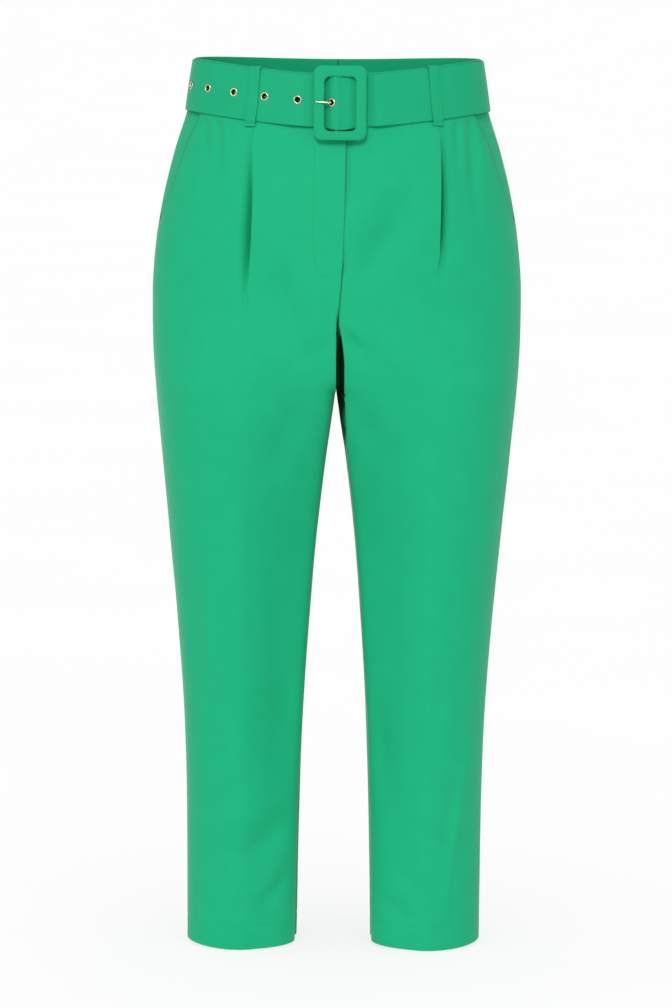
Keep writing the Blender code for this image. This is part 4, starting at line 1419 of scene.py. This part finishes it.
outside = rounded_rectangle(*BUCKLE_SIZE)[:, None]
inside = rounded_rectangle(*BUCKLE_OPENING)[:, None] - np.array((0, BUCKLE_LOWER_SIDE))
bend = all_round(SECTION_STEPS)
across = 0.5 - 0.5 * squared(np.cos(bend))
raised = 0.5 * BUCKLE_RISE * squared(np.sin(bend))
flat_ring = outside + (inside - outside) * across[:, None]
ring_out = np.broadcast_to(BUCKLE_BACK + BUCKLE_RISE / 2 + raised, flat_ring.shape[:2])
ring_x, ring_z = np.moveaxis(flat_ring, -1, 0)
points = before_belt(ring_x + BUCKLE_X, ring_z + BUCKLE_Z, ring_out)
faces = grid_faces(*points.shape[:2], closed=True, looped=True)
buckle = new_piece("buckle_cover", points, faces, plain_crepe, flat_ring)
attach(buckle, "root")
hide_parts("buckle_frame")

# -----------------------------------------------------------------------------
# Metal. The bar is the CAD's own; the prong is hooked round it, goes up through the
# first eyelet and rests on the frame. Six eyelets are pressed into the belt.
# -----------------------------------------------------------------------------
gold, tree, shader = new_material("polished_gold")
place = add_node(tree, "ShaderNodeTexCoord", {}, {}, 3)
scratch = noise(tree, place, 0.7 * MM, 3.0)
# Painted shade darkens the eyelets inside their barrel and under their flange, with a
# rougher finish there.
dark = point_mark(tree, "painted_shade_inside")
clean = tones(tree, scratch, (0.62, 0.56, 0.33), (0.76, 0.70, 0.46))
colour = tones(tree, dark, clean, (0.06, 0.075, 0.03))
rough = 0.16 + scratch * 0.14 + dark * 0.3
give_surface(tree, shader, colour, rough, scratch, 0.02 * MM)
shader.inputs["Metallic"].default_value = 1.0

for bar_slot in bpy.data.objects["buckle_bar"].material_slots:
    bar_slot.material = gold

BAR_RADIUS = 1.3 * MM
PRONG_RADIUS = 1.0 * MM
PRONG_PLAY = 0.25 * MM
PRONG_SIDES = 14
UP = np.array((0.0, 0.0, 1.0))
# The prong's line past the bar: x and the distance out.
PRONG_RISE = (
    (-4.4, 5.3),
    (-5.4, 7.1),
    (-6.6, 9.3),
    (-8.6, 11.2),
    (-11.5, 11.6),
    (-16.0, 11.5),
    (-20.9, 11.3),
)
route = round_bar(BAR_RADIUS + PRONG_PLAY + PRONG_RADIUS, 80, -175, 14)
route += [(x * MM, out * MM) for x, out in PRONG_RISE]
angles = front_angle(np.array([x for x, _ in route]))
line = eased(belt_point(angles, 0.5, np.array([out for _, out in route])), 0.5 * MM)
ahead = unit(np.gradient(line, axis=0))
beside = unit(np.cross(ahead, UP))
upright = np.cross(beside, ahead)
left = np.linalg.norm(line - line[-1], axis=1) / PRONG_RADIUS
thick = PRONG_RADIUS * np.sqrt(np.clip(1 - (1 - np.minimum(left, 1)) ** 2, 0.02, 1))
bend = all_round(PRONG_SIDES)[:, None]
circle = np.cos(bend) * beside[:, None] + np.sin(bend) * upright[:, None]
points = line[:, None] + thick[:, None, None] * circle
faces = grid_faces(*points.shape[:2], closed=True)
faces = np.concatenate([faces, end_caps(PRONG_SIDES, len(line))])
prong = new_piece("prong", points, faces, gold)
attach(prong, "root")
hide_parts("buckle_prong")

# A section of an eyelet: the radius and the height, from the back up through the
# hole and out over the rolled flange.
EYELET_PROFILE = (
    (3.0, -1.35),
    (1.6, -1.4),
    (1.4, -1.2),
    (2.2, -0.6),
    (2.6, 0.2),
    (2.75, 1.1),
    (2.9, 1.55),
    (3.15, 1.85),
    (3.5, 1.98),
    (3.9, 1.85),
    (4.3, 1.55),
    (4.45, 1.25),
    (4.4, 1.05),
    (3.3, 0.95),
    (3.1, 0.0),
    (3.2, -1.0),
)
EYELET_STEPS = 28
profile = np.array(EYELET_PROFILE) * MM
# Painted shade: full inside the barrel, fading onto the flange, and 0.6 under the flange.
painted_shade_inside = 1 - step(profile[:, 1], 0.9 * MM, 1.75 * MM)
painted_shade_inside[-5:] = 0.6
bend = np.linspace(0, 2 * pi, EYELET_STEPS, endpoint=False)[:, None, None]
for number, (middle, outwards) in enumerate(eyelet_places(), 1):
    upright = unit(UP - outwards * outwards[2])
    spoke = np.cos(bend) * np.cross(upright, outwards) + np.sin(bend) * upright
    points = middle + spoke * profile[:, 0, None] + outwards * profile[:, 1, None]
    faces = grid_faces(*points.shape[:2], closed=True, looped=True)
    marks = {"painted_shade_inside": np.broadcast_to(painted_shade_inside, points.shape[:2])}
    eyelet = new_piece(f"brass_eyelet_{number}", points, faces, gold, marks=marks)
    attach(eyelet, "root")
    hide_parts(f"eyelet_{number}")

# -----------------------------------------------------------------------------
# Stitching. Polyester thread in the cloth's green: the J beside the fly and a row
# beside each pocket's mouth.
# -----------------------------------------------------------------------------
j_line = eased(np.array(J_LINE) * MM, 0.8 * MM)
j_height = j_line[:, 1]
for _ in range(3):
    j_turn = turn_at_x(-j_line[:, 0], j_line[:, 1])
    j_height = j_line[:, 1] + waist_drop(FRONT, j_turn, j_height)
j_points, j_normal, _, _ = front_surface(RIGHT, j_turn, j_height)
sewn = stitches("fly_stitches", [(j_points, j_normal)])
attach(sewn, "root")
for side, name in SIDES:
    height = np.linspace(-48 * MM, -184 * MM, 120)
    start = front_turns(side, height)[0]
    points, normal, _, _ = front_surface(side, start(POCKET_STITCH), height)
    sewn = stitches(f"pocket_stitches_{name}", [(points, normal)])
    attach(sewn, "root")

# -----------------------------------------------------------------------------
# Studio. A pale floor, soft light from above and both sides, and the camera.
# -----------------------------------------------------------------------------
CAMERA_PLACE = (0.0004, -4.367, 0.148)
CAMERA_AIM = (0.0004, 0, -0.4655)
CAMERA_ROLL = radians(0.33)
FLOOR_BELOW = 3.2 * MM
FLOOR_REACH = 90.0
FLOOR_GLOW = 0.786
# The sky's grey overhead and at the horizon.
SKY = (0.41, 0.98)

scene = bpy.context.scene
scene.view_settings.view_transform = "Standard"
camera = bpy.data.objects.new("camera", bpy.data.cameras.new("camera"))
camera.data.lens = 150
camera.data.sensor_width = 36
camera.location = CAMERA_PLACE
aim = Vector(CAMERA_AIM) - camera.location
camera.rotation_mode = "QUATERNION"
roll = Quaternion((0, 0, 1), CAMERA_ROLL)
camera.rotation_quaternion = aim.to_track_quat("-Z", "Y") @ roll
scene.collection.objects.link(camera)
scene.camera = camera

floor_points = np.array([(-1, -1, 0), (1, -1, 0), (1, 1, 0), (-1, 1, 0)]) * FLOOR_REACH
floor_points[:, 2] = HEM - FLOOR_BELOW
white, tree, shader = new_material("white_floor")
place = add_node(tree, "ShaderNodeTexCoord", {}, {}, 3)
share = noise(tree, place, 0.5, 2.0)
grey = tones(tree, share, (0.22,) * 3, (0.24,) * 3)
tree.links.new(grey.socket, shader.inputs["Base Color"])
shader.inputs["Roughness"].default_value = 0.9
shader.inputs["Specular IOR Level"].default_value = 0.0
shader.inputs["Emission Color"].default_value = (1.0, 1.0, 1.0, 1.0)
shader.inputs["Emission Strength"].default_value = FLOOR_GLOW
floor = new_piece("floor", floor_points, np.array([[0, 1, 2, 3]]), white)
floor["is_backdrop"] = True

world = bpy.data.worlds.new("studio")
world.use_nodes = True
sky = world.node_tree.nodes["Background"]
sky.inputs["Strength"].default_value = 1.0
place = add_node(world.node_tree, "ShaderNodeTexCoord", {}, {}, 0)
up = add_node(world.node_tree, "ShaderNodeSeparateXYZ", {}, {0: place}, 2)
glow = tones(world.node_tree, up.bell(0.08), (SKY[0],) * 3, (SKY[1],) * 3)
world.node_tree.links.new(glow.socket, sky.inputs["Color"])
scene.world = world


def sun(name, energy, width, ahead, lights_floor):
    """A distant lamp that shines along ahead, on either the floor alone or the rest."""
    lamp = bpy.data.objects.new(name, bpy.data.lights.new(name, "SUN"))
    lamp.data.energy = energy
    lamp.data.angle = radians(width)
    lamp.rotation_mode = "QUATERNION"
    lamp.rotation_quaternion = Vector(ahead).to_track_quat("-Z", "Y")
    scene.collection.objects.link(lamp)
    lit = bpy.data.collections.new(name + "_lights")
    lit.objects.link(floor)
    state = "INCLUDE" if lights_floor else "EXCLUDE"
    lit.collection_objects[0].light_linking.link_state = state
    lamp.light_linking.receiver_collection = lit


sun("key", 2.14, 20, (0.50, 3.33, -2.35), False)
sun("left_fill", 0.65, 40, (2.6, 1.1, -1.3), False)
sun("right_fill", 0.65, 40, (-2.6, 1.1, -1.3), False)
sun("overhead", 1.5, 64, (0.0, 0.12, -1.0), True)

boxes = {"cad": cad_box, "visual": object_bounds()}
boxes = {key: [list(corner) for corner in box] for key, box in boxes.items()}
